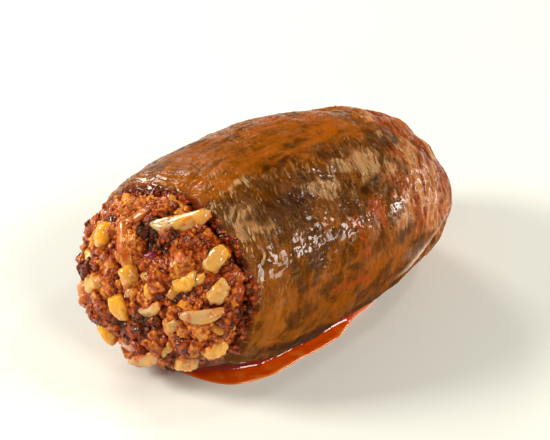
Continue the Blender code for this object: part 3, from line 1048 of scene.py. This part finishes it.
    def build(self, finish: SkinFinish) -> bpy.types.Object:
        """Builds the skin and dresses it."""
        share, turn = self.walk()
        walk, angle = np.meshgrid((share + turn)[1:], ring_angles(self.around), indexing="ij")
        walk, angle = walk.ravel(), angle.ravel()
        points = self.surface(walk, angle)
        grid = points.reshape(self.rows, self.around, 3)
        tip = self.form.body(np.zeros(1), np.zeros(1))
        steps = np.linalg.norm(np.diff(grid, axis=0), axis=2)
        run = np.vstack([np.cumsum(steps[::-1], axis=0)[::-1], np.zeros((1, self.around))]).ravel()
        normals = self.grid_normals(grid)
        height, fields = self.relief(points, run, angle)
        raised = points + normals.reshape(-1, 3) * height[:, None]
        raised[:, 2] = np.maximum(raised[:, 2], 0.02 * MM)
        raised_grid = raised.reshape(grid.shape)
        inner = []
        for step in self.inner_steps:
            depth = self.form.wall * min(1.0, 0.18 + step / 26)
            row = raised_grid[-step] - normals[-step] * depth
            row[:, 2] = np.maximum(row[:, 2], depth * 0.8)
            inner.append(row)
        inner_tip = tip - np.array([[self.form.wall, 0, 0]])
        shell = np.vstack([tip, raised, *inner, inner_tip]) + np.array(self.form.offset)
        spare = len(shell) - 1 - len(raised)
        kept = {}
        for name, values in fields.items():
            last = values.reshape(self.rows, self.around)[0].mean()
            kept[name] = np.concatenate([[last], values, np.full(spare, values[-1])])
        faces = ball_faces(self.around, self.rows + len(self.inner_steps))
        skin = make_object("eggplant_skin", shell, faces, kept)
        skin.data.materials.append(finish.make())
        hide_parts("skin")
        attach(skin, "root")
        return skin

    @staticmethod
    def grid_normals(grid: Points) -> Points:
        """Outward normals of rows of points that run from +X to -X."""
        along = np.gradient(grid, axis=0)
        around = np.roll(grid, -1, axis=1) - np.roll(grid, 1, axis=1)
        return unit(np.cross(along, around))


# ---------------------------------------------------------------- the filling


class Kind(Enum):
    """Kinds of pieces in the filling."""

    GRAIN = "grain"
    NUGGET = "nugget"
    CRUMB = "crumb"


@dataclass(frozen=True)
class Lot:
    """How one kind is scattered: its full size, how many, where the outermost lie, and their distance."""

    size: Place
    count: int
    outermost: float
    distance: float


LOTS = {
    Kind.GRAIN: Lot((8.6 * MM, 2.9 * MM, 2.3 * MM), 26, 0.22, 4.6 * MM),
    Kind.NUGGET: Lot((4.7 * MM, 3.7 * MM, 3.3 * MM), 12, 0.18, 4.2 * MM),
    Kind.CRUMB: Lot((3.8 * MM, 3.3 * MM, 2.8 * MM), 90, 0.05, 2.4 * MM),
}
GRAIN_SIDES = 18
GRAIN_RINGS = 21
# Where along a grain crumbs are kept off it, as shares of its length from the middle
GUARD_STEPS = (-0.32, -0.16, 0.0, 0.16, 0.32)
# How blocky grains and nuggets are: 1 is an even oval, and less is blockier
FULLNESS = {Kind.GRAIN: 0.75, Kind.NUGGET: 0.5}
# Points of a crumb in the solid, each of which takes one random draw there
SOLID_CRUMB_POINTS = 12
# Grains in plain sight: share of the way to the front, angle and turn in degrees, length, how yellow
SHOWN_GRAINS = (
    (0.19, 98, 45, 11.4, 0.35), (0.46, 172, 38, 8.8, 0.05), (0.46, 254, 22, 10.0, 0.25),
    (0.89, 204, 36, 7.0, 0.15),
)
# Nuggets that stand out, given the same way
SHOWN_NUGGETS = (
    (0.22, 131, 73, 5.6, 0.48), (0.60, 138, 38, 5.8, 0.55), (0.84, 50, 130, 4.4, 0.45),
    (0.48, 36, 65, 5.4, 0.85), (0.60, -18, 52, 5.8, 0.40), (0.83, 306, 116, 4.8, 0.90),
    (0.34, 296, 140, 4.6, 0.95), (0.20, 206, 140, 4.6, 0.80), (0.28, 234, 160, 4.2, 0.30),
    (0.31, 154, 70, 4.8, 0.35),
)
# Small bits of onion between them: share, angle and turn in degrees, length, tint, how soaked with oil
SHOWN_BITS = (
    (0.89, 134, 137, 3.4, 0.95, 0.30), (0.10, 186, 150, 2.9, 0.30, 0.30),
    (0.67, 196, 44, 3.6, 0.35, 0.35), (0.45, 139, 57, 3.0, 0.80, 0.35),
    (0.49, 134, 145, 2.4, 0.90, 0.30), (0.83, 94, 21, 2.5, 0.10, 0.10),
    (0.44, 0, 158, 2.8, 0.85, 0.25), (0.95, 10, 39, 2.6, 0.15, 0.30),
    (0.26, 186, 166, 3.0, 0.70, 0.50), (0.72, 148, 55, 2.4, 0.50, 0.45),
    (0.30, 262, 20, 2.6, 0.55, 0.40), (0.55, 232, 80, 2.4, 0.30, 0.45),
)
# Tones of the mince: share, angle, reach in millimetres, change of tint. The darkest, at 0.43 and 86 degrees,
# is painted shade in the heap's hollow
SHOWN_TONES = (
    (0.36, 110, 2.2, 0.20), (0.43, 86, 3.4, -0.80), (0.49, 80, 2.6, -0.50), (0.25, 58, 2.4, 0.20),
    (0.61, 146, 2.8, -0.22), (0.67, 64, 2.8, 0.22), (0.43, 64, 2.6, 0.22), (0.13, 64, 2.6, 0.26),
    (0.24, 158, 2.4, 0.28), (0.64, 200, 3.4, 0.18), (0.60, 170, 2.6, -0.22), (0.56, 86, 2.6, -0.30),
    (0.64, 280, 3.4, -0.26), (0.08, 170, 4.0, -0.34), (0.10, 140, 3.4, -0.30),
    (0.30, 150, 2.0, -0.24), (0.74, 20, 2.6, -0.20), (0.35, 225, 3.0, -0.12),
    (0.85, 240, 3.0, -0.20),
)
# Scraps of onion and herb: share, angle, size, and tint from herb over purple to red
SHOWN_SCRAPS = (
    (0.71, 86, 2.6, 0.45), (0.72, 2, 2.2, 0.40), (0.47, 8, 2.4, 0.55), (0.04, 170, 2.6, 0.45),
    (0.64, 80, 1.7, 0.16), (0.58, 62, 1.4, 0.20), (0.80, 110, 1.8, 0.60), (0.50, 300, 2.0, 0.50),
    (0.30, 60, 1.8, 0.75), (0.36, 200, 1.6, 0.80),
)


@dataclass(frozen=True)
class Seat:
    """Where a piece lies: its place, and the directions of its length, width and thickness as columns."""

    place: Points
    axes: Points

    def seated(self, points: Points) -> Points:
        """Brings a piece's points here."""
        return points @ self.axes.T + self.place


@dataclass
class Filling:
    """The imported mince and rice, and the heap of it in front of the rim."""

    form: BodyForm
    effects: Effects
    seed: int = 11
    sunk: float = 0.2
    shown_sunk: float = 0.1
    curl: float = 0.3
    least_share: float = 0.5
    half_length: float = 0.45
    lift: float = 0.3 * MM
    guards: list[tuple[Points, float]] = field(default_factory=list)
    tones: list[tuple[Points, float, float]] = field(default_factory=list)
    around: int = 300
    packed_rows: int = 12
    heap_rows: int = 128

    def seat(self, share: float, angle: float, turn: float, sunk: float) -> Seat:
        """Lays a piece flat on the heap.

        Args:
            share: Share of the way to the front.
            angle: Angle round the heap.
            turn: Turn about the surface's normal.
            sunk: How deep its middle lies.

        Returns:
            The seat, in the form's axes.
        """
        return self.seats(np.array([share]), np.array([angle]), np.array([turn]), np.array([sunk]))[0]

    def seats(self, share: Values, angle: Values, turn: Values, sunk: Values) -> list[Seat]:
        """The same for many pieces at once."""
        outward = facing(self.form.front, share, angle)
        sideways = np.array([0.0, -1.0, 0.0])
        level = unit(sideways - outward * (outward @ sideways)[:, None])
        side = np.cross(outward, level)
        places = self.form.front(share, angle) - outward * sunk[:, None]
        made = []
        for index, place in enumerate(places):
            cosine, sine = math.cos(turn[index]), math.sin(turn[index])
            length = level[index] * cosine + side[index] * sine
            width = side[index] * cosine - level[index] * sine
            made.append(Seat(place, np.stack([length, width, outward[index]], axis=1)))
        return made

    def spread(self, lot: Lot, draw: random.Random) -> Iterator[tuple[float, float]]:
        """Even places over the heap: share of the way to the front, and angle."""
        start = draw.uniform(0, FULL_TURN)
        for number in range(lot.count):
            disc = math.sqrt((number + 0.5) / lot.count)
            share = 1 - disc * (1 - lot.outermost) + draw.uniform(-0.03, 0.03)
            yield min(share, 0.95), start + number * GOLDEN_ANGLE + draw.uniform(-0.2, 0.2)

    def in_row(self, seat: Seat, points: Points) -> Points:
        """A piece's points, brought to its seat in the row frame."""
        return seat.seated(points) + np.array(self.form.offset)

    def spot(self, share: float, angle: float) -> Points:
        """One place on the heap's front, in the form's axes."""
        return self.form.front(np.array([share]), np.array([angle]))[0]

    def room(self, share: float, angle: float) -> float:
        """How far a piece seated there can reach before it meets the lip or the table."""
        place = self.spot(share, angle)
        lip = self.form.lip(np.ones(1), np.array([angle]))[0]
        form = self.form
        return min(lip[0] - place[0] - form.gap, place[2] - form.table_clearance)

    # -------- single pieces

    def grain(self, size: Points, curl: float, shift: float, fullness: float = 0.8) -> tuple[Points, Faces]:
        """A plump grain with a shallow groove that narrows to its ends and curls a little."""
        ball_points, faces = long_ball(GRAIN_SIDES, GRAIN_RINGS)
        points = ball_points.copy()
        thick = np.hypot(points[:, 1], points[:, 2])
        points[:, 1:] *= (np.maximum(thick, 1e-6) ** (fullness - 1))[:, None]
        ridges = 1 + 0.05 * np.cos(4 * np.arctan2(points[:, 2], points[:, 1]) + shift)
        points[:, 1:] *= ridges[:, None]
        uneven = soft_noise(ball_points * 1.2, 1.0, shift)
        uneven -= np.abs(soft_noise(ball_points * 1.7, 1.0, shift + 9))
        points *= 1 + (0.06 + 0.56 * (1 - fullness)) * (uneven + 0.2)[:, None]
        points = points * 0.5
        points[:, 1] += curl * (4 * points[:, 0] ** 2 - 0.4)
        return points * size, faces

    def crumb(self, size: Points, shift: float, levels: int) -> tuple[Points, Faces]:
        """An uneven crumb of mince with smaller knobs on it."""
        points, faces = ball(levels)
        torn = np.abs(soft_noise(points * 2.3, 1.0, shift + 4.0))
        reach = 0.94 + 0.44 * soft_noise(points * 1.2, 1.0, shift) + 0.5 * torn
        reach += 0.16 * soft_noise(points * 4.5, 1.0, shift)
        return points * (0.5 * reach)[:, None] * size, faces

    # -------- joined meshes

    def core(self) -> bpy.types.Object:
        """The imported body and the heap's own surface."""
        form = self.form
        rim = self.packed_rows - 1
        shares = np.concatenate([np.linspace(0, 1, self.packed_rows), np.linspace(0, 1, self.heap_rows + 1)])
        angles = ring_angles(self.around)
        rings = []
        tints = []
        for row, share in enumerate(shares):
            flat = np.full(self.around, share)
            if row <= rim:
                ring = form.packed(flat, angles, form.wall + form.gap)
                tint = np.full(self.around, 0.1)
            else:
                ring = form.front(flat, angles)
                ring, tint = self.roughened(ring, flat, angles)
            if row == rim + 1:
                ring[:, 0] += form.wall + form.lip_reach / 2
            rings.append(ring)
            tints.append(tint)
        points = np.vstack([rings[0][:1], *rings[1:-1], rings[-1][:1]]) + np.array(form.offset)
        tint = np.concatenate([tints[0][:1], *tints[1:-1], tints[-1][:1]])
        return make_object("filling_core", points, ball_faces(self.around, len(rings) - 2), {"tint": tint})

    def roughened(self, ring: Points, share: Values, angle: Values) -> tuple[Points, Values]:
        """Adds the small knobs of mince to a ring of the heap, and gives each point's tint, darker between
        knobs and lumps and towards the lip as painted shade.
        """
        outward = facing(self.form.front, np.clip(share, 0.002, 0.995), angle)
        reach, _ = cells(ring, 1.7 * MM, 4.0)
        fine = soft_noise(ring, 0.8 * MM, 6.0)
        knobs = 0.5 * MM * (0.55 - 1.3 * reach**2) + 0.14 * MM * fine
        raised = ring + outward * (knobs * fade(0.0, 0.06, share))[:, None]
        raised[:, 2] = np.maximum(raised[:, 2], 0.1 * MM)
        broad, _ = cells(ring, self.form.crag_size)
        # Painted shade: darker towards the crevices between knobs and lumps, and towards the lip
        tint = 0.50 - 0.55 * broad**2 - 0.35 * reach**2 + 0.12 * fine + self.cluster(ring)
        return raised, tint * fade(0.0, 0.10, share)

    def dressed(self, made: bpy.types.Object, material: bpy.types.Material) -> bpy.types.Object:
        """Gives a piece its material and its body."""
        made.data.materials.append(material)
        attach(made, "root")
        LOG.info("%s: %d faces", made.name, len(made.data.polygons))
        return made

    def add_grain(self, heap: PieceHeap, seat: Seat, size: Points, curl: float, tint: float, full: float,
                  soaked: float = 0.0) -> None:
        """Adds a grain or nugget, and keeps smaller crumbs off it.

        Args:
            heap: Where it gathers.
            seat: Where it lies.
            size: Its length, width and thickness.
            curl: How far its ends bend.
            tint: From 0, clear, to 1, yellow.
            full: How blocky it is, as in FULLNESS.
            soaked: How much of the oil it has taken up all over.
        """
        points, faces = self.grain(size, curl, 3.1 * len(self.guards), full)
        tints = tint + (0.7 if full > 0.6 else 0.28) * points[:, 0] / size[0]
        # foot: how far towards the piece's underside, where it turns orange
        foot = soaked + 1 - fade(-0.40, 0.34, points[:, 2] / size[2])
        heap.add(self.in_row(seat, points), faces, tint=tints, foot=foot)
        for step in GUARD_STEPS:
            line = np.array([[step * size[0], curl * size[1] * (4 * step * step - 0.4), 0.3 * size[2]]])
            self.guards.append((seat.seated(line)[0], 0.46 * size[1]))

    def covers(self, place: Points, length: float) -> bool:
        """Whether a crumb of that length would hide a grain or nugget."""
        return any(np.linalg.norm(place - spot) < reach + 0.3 * length for spot, reach in self.guards)

    def by_rule(self, heaps: dict[Kind, PieceHeap]) -> None:
        """Adds the pieces that the solid has, at the same places, to the heap of their kind, and the bits."""
        taken: list[Points] = []
        for kind, shown in ((Kind.GRAIN, SHOWN_GRAINS), (Kind.NUGGET, SHOWN_NUGGETS)):
            _, width, thickness = LOTS[kind].size
            for share, angle, turn, length, tint in shown:
                bulk = (length / 9) ** 0.7 if kind is Kind.GRAIN else 1.0
                size = np.array([length * MM, width * bulk, thickness * bulk])
                sunk = self.shown_sunk * thickness - self.lift * (2 if kind is Kind.GRAIN else 1)
                seat = self.seat(share, math.radians(angle), math.radians(turn), sunk)
                curl = self.curl if kind is Kind.GRAIN else 0.0
                self.add_grain(heaps[kind], seat, size, curl, tint, FULLNESS[kind])
                taken.append(seat.place)
        standing = list(taken)
        for share, angle, turn, length, tint, soaked in SHOWN_BITS:
            size = length * MM * np.array([1.0, 0.72, 0.62])
            seat = self.seat(share, math.radians(angle), math.radians(turn), 0.05 * length * MM)
            self.add_grain(heaps[Kind.NUGGET], seat, size, 0.0, tint, FULLNESS[Kind.NUGGET], soaked)
        draw = random.Random(self.seed)
        for kind, lot in LOTS.items():
            for share, angle in self.spread(lot, draw):
                allowed = self.room(share, angle) / (self.half_length * lot.size[0])
                size = np.array(lot.size) * min(draw.uniform(0.75, 1.2), allowed)
                seat = self.seat(share, angle, draw.uniform(0, math.pi), self.sunk * size[2])
                curl = draw.uniform(-self.curl, self.curl)
                near = [np.linalg.norm(seat.place - other) for other in standing]
                if allowed < self.least_share or min(near) <= lot.distance:
                    continue
                shift = 2.7 * len(taken)
                tint = 0.5 + 0.5 * math.sin(7.3 * len(taken))
                if kind is Kind.CRUMB:
                    for _ in range(SOLID_CRUMB_POINTS):
                        draw.uniform(0.88, 1.08)
                    points, faces = self.crumb(size * 1.08, shift, 4)
                    shade = self.shaded(seat.seated(points), points, size, tint)
                    heaps[kind].add(self.in_row(seat, points), faces, tint=shade)
                else:
                    tint = 0.1 + 0.5 * tint
                    self.add_grain(heaps[kind], seat, size, curl, tint, FULLNESS[kind], soaked=0.62)
                taken.append(seat.place)

    def shaded(self, places: Points, points: Points, size: Points, tint: float) -> Values:
        """Tint of a crumb: lighter where it stands out of the heap, as painted light, and alike in each
        cluster.
        """
        high = points[:, 2] / size[2]
        # Painted light: lighter towards the crumb's top, darker at its foot
        return 0.14 + 0.36 * tint + 0.58 * high + self.cluster(places[:1])

    def cluster(self, places: Points) -> Values:
        """Tint that neighbours share: by the named tones, and in loose patches between them."""
        shared = 0.62 * soft_noise(places, 3.6 * MM, 51.0)
        for centre, reach, change in self.tones:
            away = np.linalg.norm(places - centre, axis=1)
            shared += change * (1 - fade(0.3 * reach, 1.3 * reach, away))
        return shared

    def placed_tones(self) -> list[tuple[Points, float, float]]:
        """The named tones as centre, reach and change of tint."""
        made = []
        for share, angle, reach, change in SHOWN_TONES:
            made.append((self.spot(share, math.radians(angle)), reach * MM, change))
        return made

    def strewn(self, name: str, count: int, sizes: tuple[float, float], levels: int, seed: int) -> PieceHeap:
        """Strews smaller crumbs over the heap.

        Args:
            name: The joined piece's name.
            count: How many.
            sizes: Least and largest length.
            levels: How finely each is divided.
            seed: Seed of the draws.

        Returns:
            The gathered crumbs.
        """
        draw = np.random.default_rng(seed)
        number = np.arange(count)
        share = 1 - np.sqrt((number + 0.5) / count) * 0.99
        share = np.clip(share + draw.uniform(-0.02, 0.02, count), 0.0, 0.985)
        angle = number * GOLDEN_ANGLE + draw.uniform(-0.3, 0.3, count)
        length = draw.uniform(*sizes, count)
        shape = (np.ones(count), draw.uniform(0.7, 1, count), draw.uniform(0.55, 0.9, count))
        flat = length[:, None] * np.stack(shape, 1)
        turn = draw.uniform(0, math.pi, count)
        seats = self.seats(share, angle, turn, draw.uniform(-0.1, 0.3, count) * length)
        tints = draw.uniform(0, 1, count)
        heap = PieceHeap(name)
        low = self.form.lip(np.ones(count), angle)[:, 0]
        for index, seat in enumerate(seats):
            outside = seat.place[0] > low[index] - 0.1 * MM or seat.place[2] < 0.55 * length[index]
            if outside or (index % 6 and self.covers(seat.place, length[index])):
                continue
            points, faces = self.crumb(flat[index], 1.7 * index + seed, levels)
            tint = self.shaded(seat.seated(points), points, flat[index], tints[index])
            heap.add(self.in_row(seat, points), faces, tint=tint)
        return heap

    def lip_crumbs(self, count: int, seed: int) -> PieceHeap:
        """Dark specks that cling to the rolled rim and fill the gap behind it.

        Args:
            count: How many.
            seed: Seed of the draws.

        Returns:
            The gathered specks.
        """
        draw = np.random.default_rng(seed)
        angle = np.radians(draw.uniform(112, 262, count))
        turn = draw.uniform(0.35, 1.0, count)
        angle = np.concatenate([angle, np.radians(draw.uniform(-80, 112, count // 2))])
        turn = np.concatenate([turn, draw.uniform(0.9, 1.0, count // 2)])
        places = self.form.lip(turn, angle, inset=0.25 * MM)
        away = unit(places - self.form.placed(np.zeros(1), np.zeros(1), np.zeros(1)))
        heap = PieceHeap("rim_specks")
        for index, place in enumerate(places):
            length = draw.uniform(0.9, 2.3) * MM
            if place[2] < 0.6 * length:
                continue
            outward = unit(away[index] + np.array([-0.9, 0, 0]))
            level = unit(np.cross(outward, [draw.uniform(-1, 1), 0.3, 1.0]))
            axes = np.stack([level, np.cross(outward, level), outward], 1)
            seat = Seat(place - 0.1 * length * outward, axes)
            size = length * np.array([1.0, draw.uniform(0.6, 1.0), draw.uniform(0.4, 0.7)])
            points, faces = self.crumb(size, 2.3 * index, 3)
            # Painted light: each speck lighter towards its outer side
            tint = 0.04 + 0.34 * draw.uniform(0, 1) + 0.3 * points[:, 2] / size[2]
            heap.add(self.in_row(seat, points), faces, tint=tint)
        return heap

    def scraps(self) -> PieceHeap:
        """Thin scraps of onion and herb."""
        heap = PieceHeap("scraps")
        for index, (share, angle, size, tint) in enumerate(SHOWN_SCRAPS):
            seat = self.seat(share, math.radians(angle), 1.3 * index, -0.05 * MM)
            flat = np.array([size, size * 0.6, size * 0.3]) * 1.15 * MM
            points, faces = self.crumb(flat, 5.1 * index, 3)
            heap.add(self.in_row(seat, points), faces, tint=tint)
        return heap

    def build(self) -> bpy.types.Object:
        """Builds every piece of the filling, dresses it, and gives the core."""
        self.tones = self.placed_tones()
        mince = MinceFinish(self.effects).make()
        rice = GrainFinish(self.effects).make()
        onion = GrainFinish(self.effects, name="nugget", clear=colour(220, 168, 96), stain_from=0.5).make()
        core = self.dressed(self.core(), mince)
        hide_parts("filling")
        names = {Kind.GRAIN: "rice_grains", Kind.NUGGET: "onion_nuggets", Kind.CRUMB: "mince_crumbs"}
        heaps = {kind: PieceHeap(name) for kind, name in names.items()}
        self.by_rule(heaps)
        plan = (
            (heaps[Kind.GRAIN], rice),
            (heaps[Kind.NUGGET], onion),
            (heaps[Kind.CRUMB], mince),
            (self.strewn("mince_lumps", 330, (1.9 * MM, 3.8 * MM), 3, 23), mince),
            (self.strewn("mince_specks", 900, (0.7 * MM, 1.6 * MM), 2, 41), mince),
            (self.lip_crumbs(190, 67), mince),
            (self.scraps(), BitFinish(self.effects).make()),
        )
        for heap, material in plan:
            self.dressed(heap.build(), material)
        return core


# ---------------------------------------------------------------- the oil


# How far the pool reaches from its middle: direction in degrees from +X over +Y, and millimetres
POOL_EDGE = (
    (164, 20.0), (172, 23.5), (184, 25.2), (195, 25.4), (205, 24.9), (215, 24.6), (229, 21.9),
    (242, 19.0), (254, 17.7), (277, 17.3), (290, 18.0), (300, 19.2), (310, 21.2), (321, 23.6),
)


@dataclass
class OilPool:
    """Oil that has run out: a thin pool along the front, with a raised edge where it climbs the skin."""

    around: int = 300
    across: int = 30
    edge: tuple[tuple[float, float], ...] = POOL_EDGE
    film: float = 0.32 * MM
    climb: float = 1.7 * MM
    contact: float = 2.1 * MM
    hidden: float = 3.0 * MM
    centre: tuple[float, float] = (-4 * MM, 0.0)

    def footprint(self, solids: list[bpy.types.Object], angles: Values) -> Values:
        """How far the food reaches from the centre, close above the table, in each direction."""
        low = []
        for solid in solids:
            points = np.zeros(len(solid.data.vertices) * 3)
            solid.data.vertices.foreach_get("co", points)
            points = points.reshape(-1, 3)
            low.append(points[points[:, 2] < self.contact][:, :2])
        flat = np.vstack(low) - np.array(self.centre)
        turn = np.arctan2(flat[:, 1], flat[:, 0]) % FULL_TURN
        reach = np.hypot(flat[:, 0], flat[:, 1])
        window = math.radians(1.5)
        found = np.full(len(angles), np.nan)
        for index, angle in enumerate(angles):
            near = np.abs((turn - angle + math.pi) % FULL_TURN - math.pi) < window
            if near.any():
                found[index] = reach[near].max()
        known = ~np.isnan(found)
        return self.softened(np.interp(angles, angles[known], found[known]), 15)

    @staticmethod
    def softened(values: Values, width: int) -> Values:
        """Averages each value with its neighbours."""
        padded = np.pad(values, width // 2, mode="edge")
        return np.convolve(padded, np.ones(width) / width, mode="valid")

    def build(self, solids: list[bpy.types.Object], finish: OilFinish) -> bpy.types.Object:
        """Builds the pool round the food's foot and dresses it."""
        degrees, reaches = np.array(self.edge).T
        angles = np.radians(np.linspace(degrees[0], degrees[-1], self.around))
        foot = self.footprint(solids, angles)
        share = np.linspace(0, 1, self.around)
        waver = np.array([noise.noise((7 * value, 0.3, 0.7)) for value in share])
        outer = self.softened(np.interp(np.degrees(angles), degrees, reaches * MM), 25) + 0.5 * MM * waver
        ends = between(share, 0.0, 0.05, 0.72, 1.0)
        outer = (foot - 0.6 * MM) * (1 - ends) + np.maximum(outer, foot + 0.25 * MM) * ends
        inner = np.minimum(foot, outer) - self.hidden
        top, depth = [], []
        for step in 1 - np.linspace(1, 0, self.across) ** 1.3:
            reach = inner + (outer - inner) * step
            beyond = np.maximum(reach - foot + 0.3 * MM, 0.0)
            rise = self.climb * np.exp(-((beyond / (0.62 * MM)) ** 1.2)) * (0.25 + 0.75 * ends)
            inside = np.clip((outer - reach) / (0.7 * MM), 0.0, 1.0)
            height = 0.03 * MM + (self.film + rise) * np.sqrt(inside * (2 - inside))
            top.append(np.stack([reach * np.cos(angles), reach * np.sin(angles), height], 1))
            depth.append(np.clip(0.10 + height / (1.2 * MM), 0, 1))
        top_grid = np.stack(top, 1)
        under = top_grid.copy()
        under[:, :, 2] = 0.01 * MM
        points = np.vstack([top_grid.reshape(-1, 3), under.reshape(-1, 3)])
        points[:, :2] += np.array(self.centre)
        depths = np.stack(depth, 1).ravel()
        oil = make_object("oil_pool", points, self.faces(), {"depth": np.concatenate([depths, depths])})
        oil.data.materials.append(finish.make())
        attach(oil, "root")
        return oil

    def faces(self) -> Faces:
        """Faces of the pool's top, its underside and its edge."""
        rows, cols = self.around, self.across
        size = rows * cols
        faces: Faces = []
        for row in range(rows - 1):
            for col in range(cols - 1):
                near = row * cols + col
                quad = (near, near + 1, near + cols + 1, near + cols)
                faces.append(quad)
                faces.append(tuple(size + corner for corner in reversed(quad)))
        edge = [row * cols for row in range(rows)]
        edge += [(rows - 1) * cols + col for col in range(1, cols)]
        edge += [row * cols + cols - 1 for row in range(rows - 2, -1, -1)]
        edge += [col for col in range(cols - 2, 0, -1)]
        for here, after in zip(edge, edge[1:] + edge[:1]):
            faces.append((here, after, size + after, size + here))
        return faces


# ---------------------------------------------------------------- the studio

WARM = (1.0, 0.95, 0.88)
PALE_WARM = (1.0, 0.96, 0.90)
WHITE = (1.0, 1.0, 1.0)
# Name, direction from the food, distance, width and height, watts, colour
LIGHTS = (
    ("key", (-0.68, 0.66, 0.62), 0.7, (0.24, 0.20), 4.3, PALE_WARM),
    ("rim", (0.24, 0.82, 0.46), 0.7, (0.22, 0.18), 2.1, WARM),
    ("side", (0.50, -0.67, 0.53), 0.8, (0.30, 0.18), 2.3, WARM),
    ("low_side", (-0.10, -0.75, 0.64), 0.8, (0.26, 0.20), 1.9, WARM),
    ("above", (0.48, -0.22, 0.85), 0.7, (0.10, 0.05), 0.4, WHITE),
    ("far_side", (0.92, -0.34, 0.17), 0.8, (0.18, 0.14), 1.2, WARM),
    ("front", (-0.80, -0.45, 0.40), 0.8, (0.10, 0.10), 0.3, PALE_WARM),
)


@dataclass
class Studio:
    """Camera, lights, world and a plain pale table."""

    back: Place = (-0.578, -0.566, 0.588)
    stand: Place = (5.7 * MM, 0.0, 0.0)
    distance: float = 0.600
    lens: float = 205.0
    aim: Place = (0.0, 0.0, 12 * MM)

    def camera(self, middle: Vector) -> bpy.types.Object:
        """Sets up the camera.

        Args:
            middle: Where it looks.

        Returns:
            The camera, made the scene's own.
        """
        data = bpy.data.cameras.new("camera")
        data.lens = self.lens
        data.sensor_width = 36.0
        data.clip_start = 0.01
        made = bpy.data.objects.new("camera", data)
        made.location = Vector(self.stand) + Vector(self.back).normalized() * self.distance
        made.rotation_euler = (middle - made.location).to_track_quat("-Z", "Y").to_euler()
        bpy.context.scene.collection.objects.link(made)
        bpy.context.scene.camera = made
        return made

    def light(self, name: str, direction: Place, distance: float, size: tuple[float, float], power: float,
              shade: Colour) -> bpy.types.Object:
        """Adds a soft rectangular light aimed at the food.

        Args:
            name: Its name.
            direction: Where it stands, seen from the food.
            distance: How far away.
            size: Its width and height.
            power: In watts.
            shade: Its colour.

        Returns:
            The light.
        """
        data = bpy.data.lights.new(name, "AREA")
        data.shape = "RECTANGLE"
        data.size, data.size_y = size
        data.energy = power
        data.color = shade
        made = bpy.data.objects.new(name, data)
        made.location = Vector(direction).normalized() * distance
        made.rotation_euler = (Vector(self.aim) - made.location).to_track_quat("-Z", "Y").to_euler()
        bpy.context.scene.collection.objects.link(made)
        return made

    def lights(self) -> None:
        """Two lights behind, three along the right, one beside the camera and a small one above."""
        for row in LIGHTS:
            self.light(*row)

    def world(self) -> None:
        """Pale surroundings."""
        made = bpy.data.worlds.new("world")
        made.use_nodes = True
        shader = made.node_tree.nodes["Background"]
        shader.inputs["Color"].default_value = (1.0, 0.98, 0.94, 1.0)
        shader.inputs["Strength"].default_value = 0.16
        bpy.context.scene.world = made
        bpy.context.scene.view_settings.view_transform = "Standard"

    def table(self) -> bpy.types.Object:
        """The pale table, which isn't part of the food."""
        half = 3.0
        corners = np.array([[-half, -half, 0], [half, -half, 0], [half, half, 0], [-half, half, 0]])
        made = make_object("table", corners, [(0, 1, 2, 3)], {})
        made.data.materials.append(FloorFinish().make())
        return made

    def build(self) -> None:
        """Sets up the whole studio."""
        low, high = CAD_BOX
        self.camera((low + high) / 2)
        self.lights()
        self.world()
        self.table()


def main() -> None:
    """Builds the studio, the skin, the filling and the oil, in that order."""
    logging.basicConfig(level=logging.INFO, format="%(message)s")
    Studio().build()
    LOG.info("studio ready")
    effects = Effects()
    form = BodyForm.fitted()
    skin = Skin(form).build(SkinFinish(effects))
    LOG.info("%s: %d faces", skin.name, len(skin.data.polygons))
    core = Filling(form, effects).build()
    oil = OilPool().build([skin, core], OilFinish(effects))
    LOG.info("%s: %d faces", oil.name, len(oil.data.polygons))


if __name__ == "__main__":
    main()
